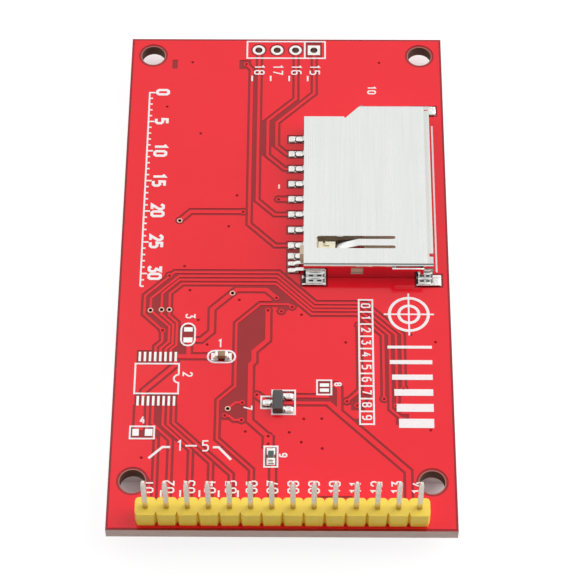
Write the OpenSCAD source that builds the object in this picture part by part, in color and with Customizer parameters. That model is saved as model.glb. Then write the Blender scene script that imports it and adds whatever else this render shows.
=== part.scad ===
// Colour display on a circuit board, with a card socket and a pin header on
// the board's rear. The module lies flat, its display face down on z = 0.
// The origin is the centre of the board's outline, on that face; the pin
// header is along the -Y edge and the card goes in from the +X side.

/* [Board] */
// Width of the circuit board
board_w = 42.72; // [42.6:0.02:43.6]
// Length of the circuit board
board_l = 77.18; // [77.1:0.02:78.6]
// Thickness of the board's laminate
board_t = 1.6; // [1.2:0.1:2]
// Diameter of the four mounting holes
hole_d = 3.2; // [2.6:0.1:3.4]
// Distance between the mounting holes across the board
hole_span_x = 36.72; // [36.2:0.02:37]
// Distance between the mounting holes along the board
hole_span_y = 67.4; // [66.8:0.1:67.6]
// Offset of the mounting holes' centre towards the card header
hole_mid_y = 1.89; // [1.7:0.01:2]

/* [Pin header] */
// Side of the square pins
pin_side = 0.64; // [0.6:0.01:0.64]
// Height of the pin tips above the board
pin_rise = 8.5; // [8:0.1:11]
// Length of the pin tails below the board
pin_drop = 1.4; // [1.2:0.1:1.8]
// Height of the plastic block
block_h = 2.54; // [2.3:0.02:2.6]

/* [Card socket] */
// Height of the metal shell above the board
shell_h = 2.83; // [2.8:0.01:3]
// Thickness of the shell's sheet metal
sheet = 0.2; // [0.15:0.01:0.25]
// Outer radius of the shell's long bends
bend_r = 0.5; // [0.4:0.05:0.7]
// Upward flare of the lip at the card's mouth
lip_rise = 0.15; // [0.05:0.05:0.3]

/* [Display] */
// Width of the display's plastic frame
frame_w = 42.6; // [42.2:0.1:42.6]
// Lower end of the display's frame
frame_y0 = -29.4; // [-29.8:0.1:-29.2]
// Upper end of the display's frame
frame_y1 = 30.8; // [30.4:0.1:31.2]

/* [Hidden] */
$fn = 48;
slack = 0.01;

// Levels, from the display's front face up
ledge_z = 0.7;         // front face of the rear glass
pocket_z = 1.2;        // back of the rear glass, which the frame carries
frame_z1 = 2.3;        // back of the display's frame
foil_t = 0.05;         // copper with its solder mask
tin_t = 0.07;          // copper with its tin, on bare pads
board_z0 = 2.9;        // laminate, display side
board_z1 = board_z0 + board_t;
mask_z = board_z1 + foil_t;
seat_z = board_z1 + tin_t;
tape_z1 = board_z0 - foil_t;

// Pin header: fourteen pins on a 2.54 mm pitch
pitch = 2.54;
pin_n = 14;
header_x = 0.08;
header_y = -36.7;
barrel_ri = 0.46;
barrel_ro = 0.51;
ring_r = 0.85;
far_cut = 0.5;         // corner cuts of the block's far and near sides
near_cut = 0.2;
near_notch = 0.47;     // depth of the near side's narrow notches
function pin_x(i) = header_x + (i - (pin_n - 1) / 2) * pitch;

// Card header: four bare plated holes on the same pitch
card_hole_r = 0.5;
card_hole_y = 36.6;
function card_hole_x(i) = (i - 1.5) * pitch;

// Card socket: shell outline, contacts and their pads
shell_x0 = 2.5;
shell_x1 = 19.2;
shell_y0 = -1.5;
shell_y1 = 24.8;
shell_z0 = seat_z + 0.03;
shell_z1 = seat_z + shell_h;
floor_z = seat_z + 0.25;
tray_x0 = 2.7;
tray_x1 = 15;
tray_y0 = shell_y0 + 0.3;
tray_y1 = 22.1;
lip_x = 18.5;
contact_t = 0.15;
contact_w = 0.8;
contact_y = [21, 18.5, 16, 13.5, 11, 8.5, 6, 3.5, 1.8];
detect_y = 0.6;
protect_y = -0.45;
// Feet of the shell: [x0, y0, x1, y1] from the wall outwards, standing on socket_tab_pads
shell_tabs = [
    [2.8, -2.65, 5.2, -1.45], [17.3, -2.65, 19.1, -1.45],
    [17.6, 24.75, 19.1, 26.2], [3, 22.7, 5.2, 23.9]];
socket_tab_pads = [
    [2.3, -2.75, 5.4, -1.2], [17.1, -2.8, 20.3, -1.1],
    [17.3, 25.2, 20.3, 26.6], [2.7, 23.1, 5.4, 24.4]];

// Pads of the sixteen-lead chip place, which is left empty
chip_pad_n = 8;
chip_pad_pitch = 0.65;
chip_x0 = -18.19;
chip_rows = [[-14.45, -13.05], [-21, -19.6]];
function chip_x(i) = chip_x0 + i * chip_pad_pitch;

// Regulator, capacitor and resistor: centres on the board
reg = [-0.65, -20.65];
cap = [-7.85, -13.72];
res = [-1.42, -28.2];
chip_l = 1.6;
chip_w = 0.8;
cap_h = 0.8;
res_h = 0.45;

// Other bare pads: [x0, y0, x1, y1]
small_pads = [
    [-12.7, -9.95, -11.6, -9.3], [-12.75, -11.6, -11.6, -10.85],
    [-18.65, -25.4, -17.85, -24.4], [-17.1, -25.4, -16.15, -24.4],
    [4.6, -18.15, 5.75, -17.65], [4.6, -18.9, 5.75, -18.4],
    [-9.15, -14.3, -8.25, -13.15], [-7.45, -14.3, -6.55, -13.15],
    [-1.95, -28, -0.9, -27.05], [-1.95, -29.45, -0.9, -28.5],
    [-0.15, -20.15, 1.35, -19.25], [-0.15, -22.05, 1.35, -21.15],
    [-2.55, -21.1, -1.2, -20.2]];

// Copper: widths, gaps and routes
edge_gap = 0.3;
track_gap = 0.33;
pad_gap = 0.26;
hole_gap = 0.4;
pour_pen = 0.4;
via_d = 0.42;
via_ring_r = 0.36;
open_via_r = 0.36;
open_via_bore = 0.23;

// Tracks as [width, route]; routes are hand-laid, mostly on 45 degree bends
tracks = [
    // card header to the card contacts
    [0.36, [[-3.7, 36.6], [-3.7, 10.85], [-1.35, 8.5], [0.5, 8.5]]],
    [0.36, [[-5.5, 34.1], [-4.7, 33.1], [-4.7, 6.95], [-1.25, 3.5], [0.5, 3.5]]],
    [0.36, [[1.35, 36.6], [1.35, 28], [-2.4, 24.25], [-2.4, 18.3], [-0.1, 16], [0.5, 16]]],
    [0.36, [[3.85, 36.6], [3.85, 28.95], [-1.2, 23.9], [-1.2, 19.9], [0.2, 18.5], [0.5, 18.5]]],
    [0.6, [[-0.85, 11], [0.5, 11]]],
    [0.5, [[-5.5, 8.95], [-12.4, 8.95], [-13.82, 7.5]]],
    // four lanes from the empty chip place round to the right-hand side
    [0.3, [[-16.24, -13.4], [-16.24, -12.25], [-15.45, -11.45], [-15.45, -9.75],
           [-17.9, -7.3], [-17.9, -4.45], [-14.2, -0.75], [-0.7, -0.75],
           [4.05, -5.5], [10.35, -5.5], [15.1, -10.25], [15.1, -18.4]]],
    [0.3, [[-15.59, -13.4], [-15.59, -12.5], [-14.6, -11.5], [-14.6, -9.2],
           [-17.12, -6.7], [-17.12, -4.85], [-13.6, -1.35], [-0.85, -1.35],
           [3.85, -6.05], [10, -6.05], [14.28, -10.3], [14.28, -20.2], [14.15, -20.85]]],
    [0.3, [[-14.94, -13.4], [-14.94, -12.6], [-14.12, -11.8], [-14.12, -8.9],
           [-15.7, -7.3], [-15.7, -4.1], [-13.55, -1.95], [-0.95, -1.95],
           [3.7, -6.6], [9.7, -6.6], [13.46, -10.35], [13.46, -21.4], [14.95, -22.9]]],
    [0.3, [[-14.29, -13.4], [-14.29, -12.6], [-13.63, -12], [-13.63, -8.6],
           [-14.7, -7.5], [-14.7, -4.1], [-13.15, -2.55], [-1.05, -2.55],
           [3.6, -7.2], [9.45, -7.2], [12.65, -10.4], [12.65, -19.9]]],
    // supply runs around the capacitors
    [0.56, [[-0.98, -4.72], [-2.3, -3.45], [-6.1, -3.45], [-9.2, -6.5],
            [-9.2, -9.95], [-10.5, -11.25], [-12.2, -11.25]]],
    [0.6, [[-13.4, -13.7], [-8.8, -13.7]]],
    [0.55, [[-12.05, -11.4], [-12.05, -13.7]]],
    [0.55, [[-13.64, -14.4], [-13.64, -15], [-17.5, -18.9], [-17.5, -19.8]]],
    [1.05, [[-17.9, -20.9], [-17.9, -24.6]]],
    // long signal run beside the bare area, down to header pin 6
    [0.3, [[1.05, -6.1], [0.55, -5.7], [-3.05, -5.7], [-6.05, -8.65], [-6.05, -18.1],
           [-8.15, -20.2], [-8.15, -25.8], [-3.8, -30.15], [-3.8, -36.7]]],
    // backlight run from its via to the resistor and on to header pin 7
    [0.6, [[-2.05, -6.65], [-2.05, -11.2], [-3.75, -12.9], [-3.75, -14.45],
           [-4.15, -14.85], [-4.15, -23.15], [-1.85, -25.45]]],
    [1.05, [[-1.8, -25.2], [-1.8, -27.2]]],
    [0.55, [[-1.2, -29.2], [-1.2, -36.7]]],
    [0.75, [[-3.3, -19.4], [-2.1, -20.4]]],
    [0.3, [[-6.9, -21.4], [-5.95, -20.5], [-5.1, -20.5]]],
    [0.3, [[-7.25, -22.4], [-6.7, -22.45], [-6.1, -23.05], [-5.15, -23.05]]],
    // regulator, solder bridge and supply to header pin 14
    [0.34, [[0.6, -19.55], [5.75, -19.6]]],
    [0.42, [[0.1, -20.53], [5.6, -20.53]]],
    [0.62, [[5.6, -20.45], [15.45, -30.3], [15.45, -35.2], [16.59, -36.7]]],
    [0.5, [[5.2, -17.9], [6.6, -17.9], [7, -18.35], [7, -22]]],
    [0.34, [[9.6, -8.9], [9.65, -18.6], [8, -20.27]]],
    [0.36, [[9.25, -20.86], [10.4, -19.7]]],
    // empty chip place to header pins 1 to 5
    [0.3, [[-16.89, -20.9], [-16.89, -24.6]]],
    [0.3, [[-16.3, -25.2], [-15.65, -25.9], [-15.65, -34], [-16.43, -36.7]]],
    [0.3, [[-16.24, -20.9], [-16.24, -23.6], [-13.89, -25.95], [-13.89, -36.7]]],
    [0.3, [[-14.94, -20.9], [-14.94, -23.8], [-11.35, -27.4], [-11.35, -36.7]]],
    [0.3, [[-14.29, -20.9], [-14.29, -23.7], [-8.81, -29.2], [-8.81, -36.7]]],
    [0.3, [[-13.64, -20.9], [-13.64, -23.5], [-6.27, -30.85], [-6.27, -36.7]]],
    // short link beside the header
    [0.3, [[3.89, -36.7], [4.7, -34.25], [8.2, -34.25], [8.97, -36.7]]]];

// Plated vias under the mask: on tracks, with a ring, and in the pour
track_vias = [
    [-5.5, 34.1], [-5.5, 8.95], [-0.85, 11], [-14.85, -1.3], [-15.45, -9.75],
    [-0.98, -4.72], [-2.05, -6.65], [-0.32, -6.78], [1.05, -6.1], [9.6, -8.9],
    [8, -20.27], [9.25, -20.86], [12.65, -19.9], [14.15, -20.85], [14.95, -22.9],
    [15.1, -18.4], [-5.1, -20.5], [-5.15, -23.05], [-7.25, -22.4], [-3.3, -19.35],
    [-1.8, -25.35], [-1.8, -26.45]];
pour_vias = [
    [-11.45, 22], [-16.15, 26.6], [-6.35, 11.65], [-7.35, 6.6], [-12.95, 0.2],
    [12.8, 34.4], [-12.9, 34.4], [-12.15, -3.55], [-5.75, -5.05], [2.25, -7.3],
    [-10.95, -8.15], [-9.7, -11.9], [7.9, -11.5], [16.2, -10.3], [19.3, -11.4],
    [-17.4, -28.5], [-4.65, -24.7], [0.8, -24.8], [2.3, -26.2], [4.9, -27.1],
    [2.6, -22.85], [4.85, -22.8], [18.35, -24.4]];
// Vias left open in the mask, each with a tinned ring and a bore
open_vias = [
    [-13.82, 7.5], [-14.7, -6.6], [-15.7, -6.6], [-17.12, -6.7], [-6.65, -4], [-6.9, -21.4]];

// Places with no pour: boxes [x0, y0, x1, y1] and outlines
bare_boxes = [
    [-15.7, 33.25, -14.95, 34.85], [-6.45, 33.2, -4.85, 34.85],
    [2.75, 35.35, 4.9, 37.9], [-16.95, -6.7, -15.9, -4.4],
    [14.05, -23.7, 15.7, -22.1], [8.75, -23.5, 9.85, -22.8],
    [-1.3, -22.1, 1.45, -18.8], [4.35, -19.2, 5.9, -17.35],
    [-12.9, -11.8, -11.5, -8.95], [-18.85, -25.7, -16.05, -24.15],
    [-9.3, -14.45, -6.4, -13], [-2.15, -29.65, -0.7, -26.95],
    [-18.5, -14.7, -13.35, -12.95], [-18.5, -21.1, -13.35, -19.35],
    [8.5, -21.6, 10.2, -20.5]];
bare_outlines = [
    [[-3.1, -5.9], [-2.05, -5.9], [-2.05, -11.2], [-3.75, -12.9], [-3.75, -14.45],
     [-4.15, -14.85], [-4.15, -23.4], [-4.8, -23.55], [-6.3, -23.5], [-6.8, -23.1],
     [-8.1, -23.1], [-8.1, -20.2], [-6, -18.1], [-6, -8.7]],
    [[-1.9, -3], [-1, -2.6], [2, -5.7], [1.3, -6.6], [0.3, -6.6], [-0.9, -5.7], [-1.6, -5.2]],
    [[-13.4, -12], [-12.5, -12.3], [-12.5, -13.2], [-13.3, -13.2]],
    [[5.9, -17.2], [6.7, -18.3], [6.7, -21.4], [5.9, -20.6], [1.8, -20.4], [1.8, -19.7], [5.9, -19.7]],
    [[8.6, -20.4], [9.8, -19.1], [11.2, -19.3], [10.5, -20.4], [9.4, -20.3]]];

// Legend: pens, and plain figures drawn as strokes two wide and four high
ink_t = 0.04;
fine_pen = 0.2;
bold_pen = 0.36;
bracket_pen = 0.28;
figure_pen = 0.17;
figures = [
    [[[1, 0], [1.5, 0], [2, 0.6], [2, 3.4], [1.5, 4], [0.5, 4], [0, 3.4], [0, 0.6], [0.5, 0], [1, 0]]],
    [[[0.3, 3.4], [1.1, 4], [1.1, 0]]],
    [[[0, 3.2], [0.6, 4], [1.5, 4], [2, 3.4], [2, 2.5], [0.2, 0], [2, 0]]],
    [[[0, 4], [1.8, 4], [1, 2.5], [2, 1.9], [2, 0.6], [1.5, 0], [0.5, 0], [0, 0.6]]],
    [[[1.3, 4], [0, 1.3], [2, 1.3]], [[1.5, 2.6], [1.5, 0]]],
    [[[2, 4], [0.2, 4], [0.1, 2.3], [1.4, 2.4], [2, 1.8], [2, 0.6], [1.5, 0], [0, 0]]],
    [[[1.8, 4], [0.6, 4], [0, 3.2], [0, 0.6], [0.5, 0], [1.5, 0], [2, 0.6],
      [2, 1.8], [1.5, 2.3], [0, 2.2]]],
    [[[0, 4], [2, 4], [0.8, 0]]],
    [[[1, 0], [1.5, 0], [2, 0.6], [2, 1.6], [1.5, 2.1], [2, 2.7], [2, 3.4], [1.5, 4], [0.5, 4], [0, 3.4],
      [0, 2.7], [0.5, 2.1], [0, 1.6], [0, 0.6], [0.5, 0], [1, 0]], [[0.5, 2.1], [1.5, 2.1]]],
    [[[0.2, 0], [1.4, 0], [2, 0.8], [2, 3.4], [1.5, 4], [0.5, 4], [0, 3.4],
      [0, 2.2], [0.5, 1.7], [2, 1.8]]]];

// Display: glass, films and the parts behind them
glass_x = 20.3;
glass_y1 = 29.6;
rear_glass_y0 = -27.9;
front_glass_y0 = -24.2;
film_x = 19.5;
film_y1 = 29;
light_y0 = -24.6;
flex_t = 0.12;
flex_x = 13;
flex_tail_x = 8;
flex_bend_y = -29;
led_n = 4;
led_pitch = 8;

pin_names = [for (i = [1 : pin_n]) str("header_pin_", i)];
contact_names = [for (i = [1 : len(contact_y)]) str("card_contact_", i)];

// ---------------------------------------------------------------- helpers

// A box from two corners of its footprint, between two levels
module slab(box, z0, z1)
    translate([box[0], box[1], z0])
        cube([box[2] - box[0], box[3] - box[1], z1 - z0]);

// The footprint alone
module area(box)
    translate([box[0], box[1]])
        square([box[2] - box[0], box[3] - box[1]]);

// An outline in X and Z, made solid along Y
module along_y(y0, y1)
    translate([0, y1, 0])
        rotate([90, 0, 0])
            linear_extrude(y1 - y0)
                children();

// An outline in Y and Z, made solid along X
module along_x(x0, x1)
    translate([x0, 0, 0])
        rotate([90, 0, 90])
            linear_extrude(x1 - x0)
                children();

// A strip that follows a path and is t thick above it
module strip(path, t)
    polygon(concat(path, [for (k = [len(path) - 1 : -1 : 0]) path[k] + [0, t]]));

// A line of even width along a path, mitred at its bends
function normal(a, b) = let (d = (b - a) / norm(b - a)) [-d.y, d.x];
function mitre(path, k) =
    let (last = len(path) - 1, i = max(k, 1), j = min(k, last - 1),
         before = normal(path[i - 1], path[i]), after = normal(path[j], path[j + 1]))
    (before + after) / (1 + before * after);
module line(path, width)
    polygon(concat(
        [for (k = [0 : len(path) - 1]) path[k] + mitre(path, k) * width / 2],
        [for (k = [len(path) - 1 : -1 : 0]) path[k] - mitre(path, k) * width / 2]));

// Many overlapping outlines made one
module merged()
    offset(delta = slack)
        children();

function arc(centre, r, a0, a1, steps = 6) =
    [for (k = [0 : steps]) let (a = a0 + (a1 - a0) * k / steps) centre + r * [cos(a), sin(a)]];

// Closed lines start and end half-way along their first side
module box_line(box, width)
    let (mid = (box[0] + box[2]) / 2)
        line([[mid, box[1]], [box[2], box[1]], [box[2], box[3]],
              [box[0], box[3]], [box[0], box[1]], [mid, box[1]]], width);

module pill_line(a, b, r, width)
    let (turn = atan2(b.y - a.y, b.x - a.x), side = r * [sin(turn), -cos(turn)])
        line(concat([(a + b) / 2 + side], arc(b, r, turn - 90, turn + 90),
                    arc(a, r, turn + 90, turn + 270), [(a + b) / 2 + side]), width);

// Plain figures that start at a point and run along a heading
module number(digits, at, heading, height, width)
    translate(at)
        rotate(heading)
            for (k = [0 : len(digits) - 1])
                for (stroke = figures[digits[k]])
                    translate([k * height * 0.78, 0])
                        line([for (p = stroke) p * height / 4], width);

// A low mound of solder with sloping sides, on a footprint
module mound(box, height)
    translate([(box[0] + box[2]) / 2, (box[1] + box[3]) / 2, seat_z])
        linear_extrude(height, scale = 0.62)
            square([box[2] - box[0], box[3] - box[1]], center = true);

module at_mounting_holes()
    for (x = [-1, 1], y = [-1, 1])
        translate([x * hole_span_x / 2, hole_mid_y + y * hole_span_y / 2])
            children();

module at_pins()
    for (i = [0 : pin_n - 1])
        translate([pin_x(i), header_y])
            children();

module at_card_holes()
    for (i = [0 : 3])
        translate([card_hole_x(i), card_hole_y])
            children();

// ------------------------------------------------------------------ board

module circuit_board()
    color([0.75, 0.62, 0.52])
        translate([0, 0, board_z0])
            linear_extrude(board_t)
                difference() {
                    square([board_w, board_l], center = true);
                    at_mounting_holes() circle(d = hole_d);
                    at_pins() circle(r = barrel_ro);
                    at_card_holes() circle(r = card_hole_r + 0.05);
                    for (v = open_vias) translate(v) circle(r = open_via_bore + 0.05);
                }

// Bare pads of the rear side: chip rows, small parts, contacts and shell feet
module chip_pads()
    for (row = chip_rows, i = [0 : chip_pad_n - 1])
        area([chip_x(i) - 0.15, row[0], chip_x(i) + 0.15, row[1]]);

module contact_pads() {
    for (y = contact_y) area([0.45, y - 0.5, 2.45, y + 0.5]);
    for (y = [detect_y, protect_y]) area([0.45, y - 0.34, 1.85, y + 0.34]);
}

module pads() {
    chip_pads();
    contact_pads();
    for (box = small_pads) area(box);
    for (box = socket_tab_pads) area(box);
}

module rings(gap = 0) {
    at_pins() circle(r = ring_r + gap, $fn = 16);
    at_card_holes() circle(r = ring_r + gap, $fn = 16);
    translate([card_hole_x(3), card_hole_y]) square(2 * (ring_r + gap), center = true);
    for (v = open_vias) translate(v) circle(r = open_via_r + gap, $fn = 12);
}

module rear_tracks(gap = 0) {
    for (t = tracks) line(t[1], t[0] + 2 * gap);
    for (v = track_vias) translate(v) circle(r = via_ring_r + gap, $fn = 8);
}

// The pour is the board less every gap
module whole_pour()
    difference() {
        square([board_w - 2 * edge_gap, board_l - 2 * edge_gap], center = true);
        rear_tracks(track_gap);
        offset(delta = pad_gap) pads();
        rings(pad_gap);
        at_mounting_holes() circle(r = hole_d / 2 + hole_gap, $fn = 32);
        for (box = bare_boxes) area(box);
        for (outline = bare_outlines) polygon(outline);
    }

// Slivers too narrow to etch are dropped by shrinking and growing it
module rear_pour()
    intersection() {
        whole_pour();
        offset(delta = pour_pen / 2)
            offset(delta = -pour_pen / 2)
                whole_pour();
    }

module rear_copper()
    color([0.93, 0.24, 0.28])
        translate([0, 0, board_z1])
            linear_extrude(foil_t)
                merged()
                    difference() {
                        union() {
                            rear_pour();
                            rear_tracks();
                        }
                        offset(delta = 0.03) pads();
                        rings(0.04);
                        for (v = concat(track_vias, pour_vias))
                            translate(v) circle(d = via_d, $fn = 6);
                    }

// Display side: pour, and short tracks that run in under the display
module front_tracks(gap = 0) {
    for (i = [5 : 12])
        line([[pin_x(i), header_y], [pin_x(i), frame_y0 + 2]], 0.36 + 2 * gap);
    for (i = [0 : 3])
        line([[card_hole_x(i), card_hole_y], [card_hole_x(i), frame_y1 - 2]], 0.36 + 2 * gap);
}

module front_copper()
    color([0.93, 0.24, 0.28])
        translate([0, 0, tape_z1])
            linear_extrude(foil_t)
                merged()
                    difference() {
                        union() {
                            difference() {
                                square([board_w - 2 * edge_gap, board_l - 2 * edge_gap], center = true);
                                front_tracks(track_gap);
                                rings(pad_gap);
                                at_mounting_holes() circle(r = hole_d / 2 + hole_gap, $fn = 32);
                            }
                            front_tracks();
                        }
                        rings(0.04);
                    }

module bare_pads()
    color([0.84, 0.85, 0.85])
        translate([0, 0, board_z1])
            linear_extrude(tin_t)
                pads();

// An eyelet through the board: a barrel with a ring at each face
module eyelet(bore_r, barrel_r, ring, far_t = tin_t)
    difference() {
        union() {
            translate([0, 0, board_z0]) cylinder(r = barrel_r, h = board_t);
            translate([0, 0, board_z1]) cylinder(r = ring, h = tin_t);
            translate([0, 0, board_z0 - far_t]) cylinder(r = ring, h = far_t);
        }
        translate([0, 0, board_z0 - 1]) cylinder(r = bore_r, h = board_t + 2);
    }

module header_barrels()
    color([0.84, 0.85, 0.85])
        at_pins() eyelet(barrel_ri, barrel_ro, ring_r);

// The first of the four holes has square pads
module card_header_barrels()
    color([0.88, 0.88, 0.86]) {
        at_card_holes() eyelet(card_hole_r, card_hole_r + 0.05, ring_r);
        translate([card_hole_x(3), card_hole_y])
            for (z = [board_z1, board_z0 - tin_t])
                translate([0, 0, z])
                    linear_extrude(tin_t)
                        difference() {
                            square(2 * ring_r, center = true);
                            circle(r = card_hole_r);
                        }
    }

module via_barrels()
    color([0.86, 0.74, 0.68])
        for (v = open_vias)
            translate(v) eyelet(open_via_bore, open_via_bore + 0.05, open_via_r, foil_t);

// ----------------------------------------------------------------- legend

// Ruler in millimetres along the left-hand side
ruler_x = -18.6;
ruler_y = 29;
module ruler() {
    line([[ruler_x, ruler_y + fine_pen / 2], [ruler_x, ruler_y - 32]], fine_pen);
    for (k = [0 : 32])
        line([[ruler_x, ruler_y - k], [ruler_x + (k % 5 == 0 ? 0.8 : 0.45), ruler_y - k]], fine_pen);
    for (k = [0 : 6])
        number(k < 2 ? [k * 5] : [floor(k / 2), k % 2 * 5],
               [ruler_x + 1.05, ruler_y - 5 * k + (k < 2 ? 0.45 : 1.1)], -90, 1.5, bold_pen);
}

// Write-on strip of ten numbered cells
cell = 1.86;
module cell_strip() {
    box_line([9.6, -5 - 10 * cell, 11.35, -5], fine_pen);
    for (k = [1 : 9]) line([[9.6, -5 - k * cell], [11.35, -5 - k * cell]], fine_pen);
    for (k = [0 : 9]) number([k], [9.96, -5 - k * cell - 0.63], -90, 1.06, figure_pen);
}

// Target with a cross, and bars of growing width
target = [16, -7.2];
module target_mark() {
    for (r = [1.3, 2.5])
        difference() {
            translate(target) circle(r = r + bold_pen / 2, $fn = 32);
            translate(target) circle(r = r - bold_pen / 2, $fn = 32);
        }
    line([target - [3.2, 0], target + [3.2, 0]], fine_pen);
    line([target - [0, 3.2], target + [0, 3.2]], fine_pen);
}

module gauge_bars()
    for (k = [0 : 5])
        let (y = -12.2 - 2.25 * k)
            area([13.2 + 0.25 * k, y - 0.2 - 0.09 * k, 18.8, y + 0.2 + 0.09 * k]);

// Outlines of the parts' places
module part_outlines() {
    box_line([-5.4, 35.15, 5.35, 38.12], fine_pen);
    line([[2.55, 35.15], [2.55, 38.12]], fine_pen);
    line(concat([[-13.18, -16.45], [-13.18, -14.82], [-18.68, -14.82], [-18.68, -19.25], [-13.18, -19.25]],
                arc([-13.18, -17.05], 0.6, 270, 90)), fine_pen);
    pill_line([-12.18, -11.22], [-12.18, -9.58], 0.88, fine_pen);
    pill_line([-8.72, -13.72], [-6.98, -13.72], 0.88, fine_pen);
    box_line([-18.95, -25.8, -15.95, -24.05], fine_pen);
    line([[0, -18.72], [1.5, -18.72], [1.5, -22.2], [-1.35, -22.2], [-1.35, -21.35],
          [-2.72, -21.35], [-2.72, -19.62], [-1.35, -19.62], [-1.35, -18.72], [0, -18.72]], fine_pen);
    box_line([4.25, -19.3, 6.05, -17.2], fine_pen);
    box_line([-2.25, -29.75, -0.62, -26.85], fine_pen);
    line([[19.75, -0.65], [19.75, 23.35]], fine_pen);
    line([[-0.8, 12.78], [-0.8, 13.42]], fine_pen);
}

// Pin numbers and part numbers
module numbers() {
    for (i = [0 : pin_n - 1])
        number([floor((i + 1) / 10), (i + 1) % 10], [pin_x(i) + 0.62, -33.4], 90, 1.25, figure_pen);
    for (i = [0 : 3]) {
        number([1, 8 - i], [card_hole_x(i) - 0.5, 33.9], -90, 1.25, figure_pen);
        line([[card_hole_x(i) - 0.85, 32], [card_hole_x(i) - 0.85, 31.1]], fine_pen);
    }
    for (i = [0 : 4]) line([[-14.8 + 2.35 * i, -34], [-14.8 + 2.35 * i, -33.1]], fine_pen);
    number([1], [-13.05, -27.5], 0, 1.4, figure_pen);
    line([[-12, -26.8], [-10.6, -26.8]], fine_pen);
    number([5], [-9.9, -27.5], 0, 1.4, figure_pen);
    number([2], [-12.6, -16.1], -90, 1.1, figure_pen);
    number([3], [-12.5, -7.3], -90, 1.1, figure_pen);
    number([1], [-8.3, -12.3], 0, 1.1, figure_pen);
    number([4], [-17.7, -23.6], 0, 0.95, figure_pen);
    number([7], [-4.9, -21], -90, 1, figure_pen);
    number([8], [6.5, -17.6], -90, 0.75, figure_pen);
    number([6], [0.5, -28.3], 90, 0.85, figure_pen);
    number([1, 0], [11.2, 30.2], -90, 1, figure_pen);
}

// Bracket over the first five pins
module pin_bracket() {
    line([[-16.5, -28.6], [-14.85, -27], [-13.9, -27]], bracket_pen);
    line([[-8.6, -27], [-7.9, -27], [-6.35, -28.75]], bracket_pen);
}

module rear_legend()
    color([0.97, 0.95, 0.95])
        translate([0, 0, mask_z])
            linear_extrude(ink_t)
                merged() {
                    ruler();
                    cell_strip();
                    target_mark();
                    gauge_bars();
                    part_outlines();
                    numbers();
                    pin_bracket();
                }

module front_legend()
    color([0.97, 0.95, 0.95])
        translate([0, 0, tape_z1 - ink_t])
            linear_extrude(ink_t)
                merged() {
                    box_line([pin_x(0) - 1.4, header_y - 1.4,
                              pin_x(pin_n - 1) + 1.4, header_y + 1.4], fine_pen);
                    box_line([-5.4, 35.15, 5.35, 38.12], fine_pen);
                    mirror([1, 0]) {
                        number([1], [18.6, header_y - 0.6], 0, 1.2, figure_pen);
                        number([1, 4], [-20.6, header_y - 0.6], 0, 1.2, figure_pen);
                    }
                }

// ------------------------------------------------------------- pin header

// Cells joined side by side: wide corner cuts on the far side, narrow notches on
// the near side, and a square hole for each pin
function cell_edges(side, cut, notch) =
    [for (i = [0 : pin_n - 1],
          p = [[-pitch / 2, pitch / 2 - notch], [cut - pitch / 2, pitch / 2], [pitch / 2 - cut, pitch / 2]])
        [pin_x(i) + p[0], side * p[1]]];
module header_block()
    color([0.96, 0.84, 0.3])
        translate([0, header_y, seat_z])
            linear_extrude(block_h)
                difference() {
                    let (near = cell_edges(-1, near_cut, near_notch), far = cell_edges(1, far_cut, far_cut),
                         end_x = pin_x(pin_n - 1) + pitch / 2)
                        polygon(concat(near,
                            [[end_x, near_notch - pitch / 2], [end_x, pitch / 2 - far_cut]],
                            [for (k = [len(far) - 1 : -1 : 0]) far[k]]));
                    for (i = [0 : pin_n - 1])
                        translate([pin_x(i), 0]) square(pin_side, center = true);
                }

// A square pin with both ends drawn down to a blunt point
pin_point = 0.45;
module header_pin(i)
    color([0.84, 0.79, 0.72])
        translate([pin_x(i), header_y, 0]) {
            translate([-pin_side / 2, -pin_side / 2, board_z0 - pin_drop + pin_point])
                cube([pin_side, pin_side, board_t + pin_drop + pin_rise - 2 * pin_point]);
            translate([0, 0, board_z1 + pin_rise - pin_point])
                linear_extrude(pin_point, scale = 0.55) square(pin_side, center = true);
            translate([0, 0, board_z0 - pin_drop + pin_point])
                mirror([0, 0, 1])
                    linear_extrude(pin_point, scale = 0.55) square(pin_side, center = true);
        }

// Solder fills each barrel and stands in a cone on the display side
module header_solder()
    color([0.8, 0.81, 0.82])
        at_pins()
            difference() {
                union() {
                    translate([0, 0, board_z0 - tin_t]) cylinder(r = barrel_ri, h = board_t - 0.1);
                    translate([0, 0, board_z0 - tin_t - 0.75]) cylinder(r1 = 0.5, r2 = 0.8, h = 0.75);
                }
                translate([0, 0, board_z0]) cube([pin_side, pin_side, 6], center = true);
            }

// ------------------------------------------------------------ card socket

// Cross-section of the folded sheet, from its outer and inner lines
function shell_line(inset) = concat(
    [[shell_y0 + inset, shell_z0]],
    arc([shell_y0 + bend_r, shell_z1 - bend_r], bend_r - inset, 180, 90),
    arc([shell_y1 - bend_r, shell_z1 - bend_r], bend_r - inset, 90, 0),
    [[shell_y1 - inset, shell_z0]]);

module shell_section()
    let (outer = shell_line(0), inner = shell_line(sheet))
        polygon(concat(outer, [for (k = [len(inner) - 1 : -1 : 0]) inner[k]]));

// The stepped corner, where the far side sits further in
module step_cut()
    translate([0, 0, shell_z0 - 1])
        linear_extrude(shell_h + 2)
            polygon([[shell_x0 - 1, 22.75], [7.8, 22.75], [8, 22.5],
                     [10.2, 24.8], [10.2, 26], [shell_x0 - 1, 26]]);

module step_wall()
    translate([0, 0, shell_z0])
        linear_extrude(shell_z1 - shell_z0 - sheet / 2)
            polygon([[2.7, 22.75], [7.8, 22.75], [8, 22.5], [10.2, 24.8], [10.45, 24.6],
                     [8.02, 22.2], [7.72, 22.55], [2.7, 22.55]]);

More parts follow.
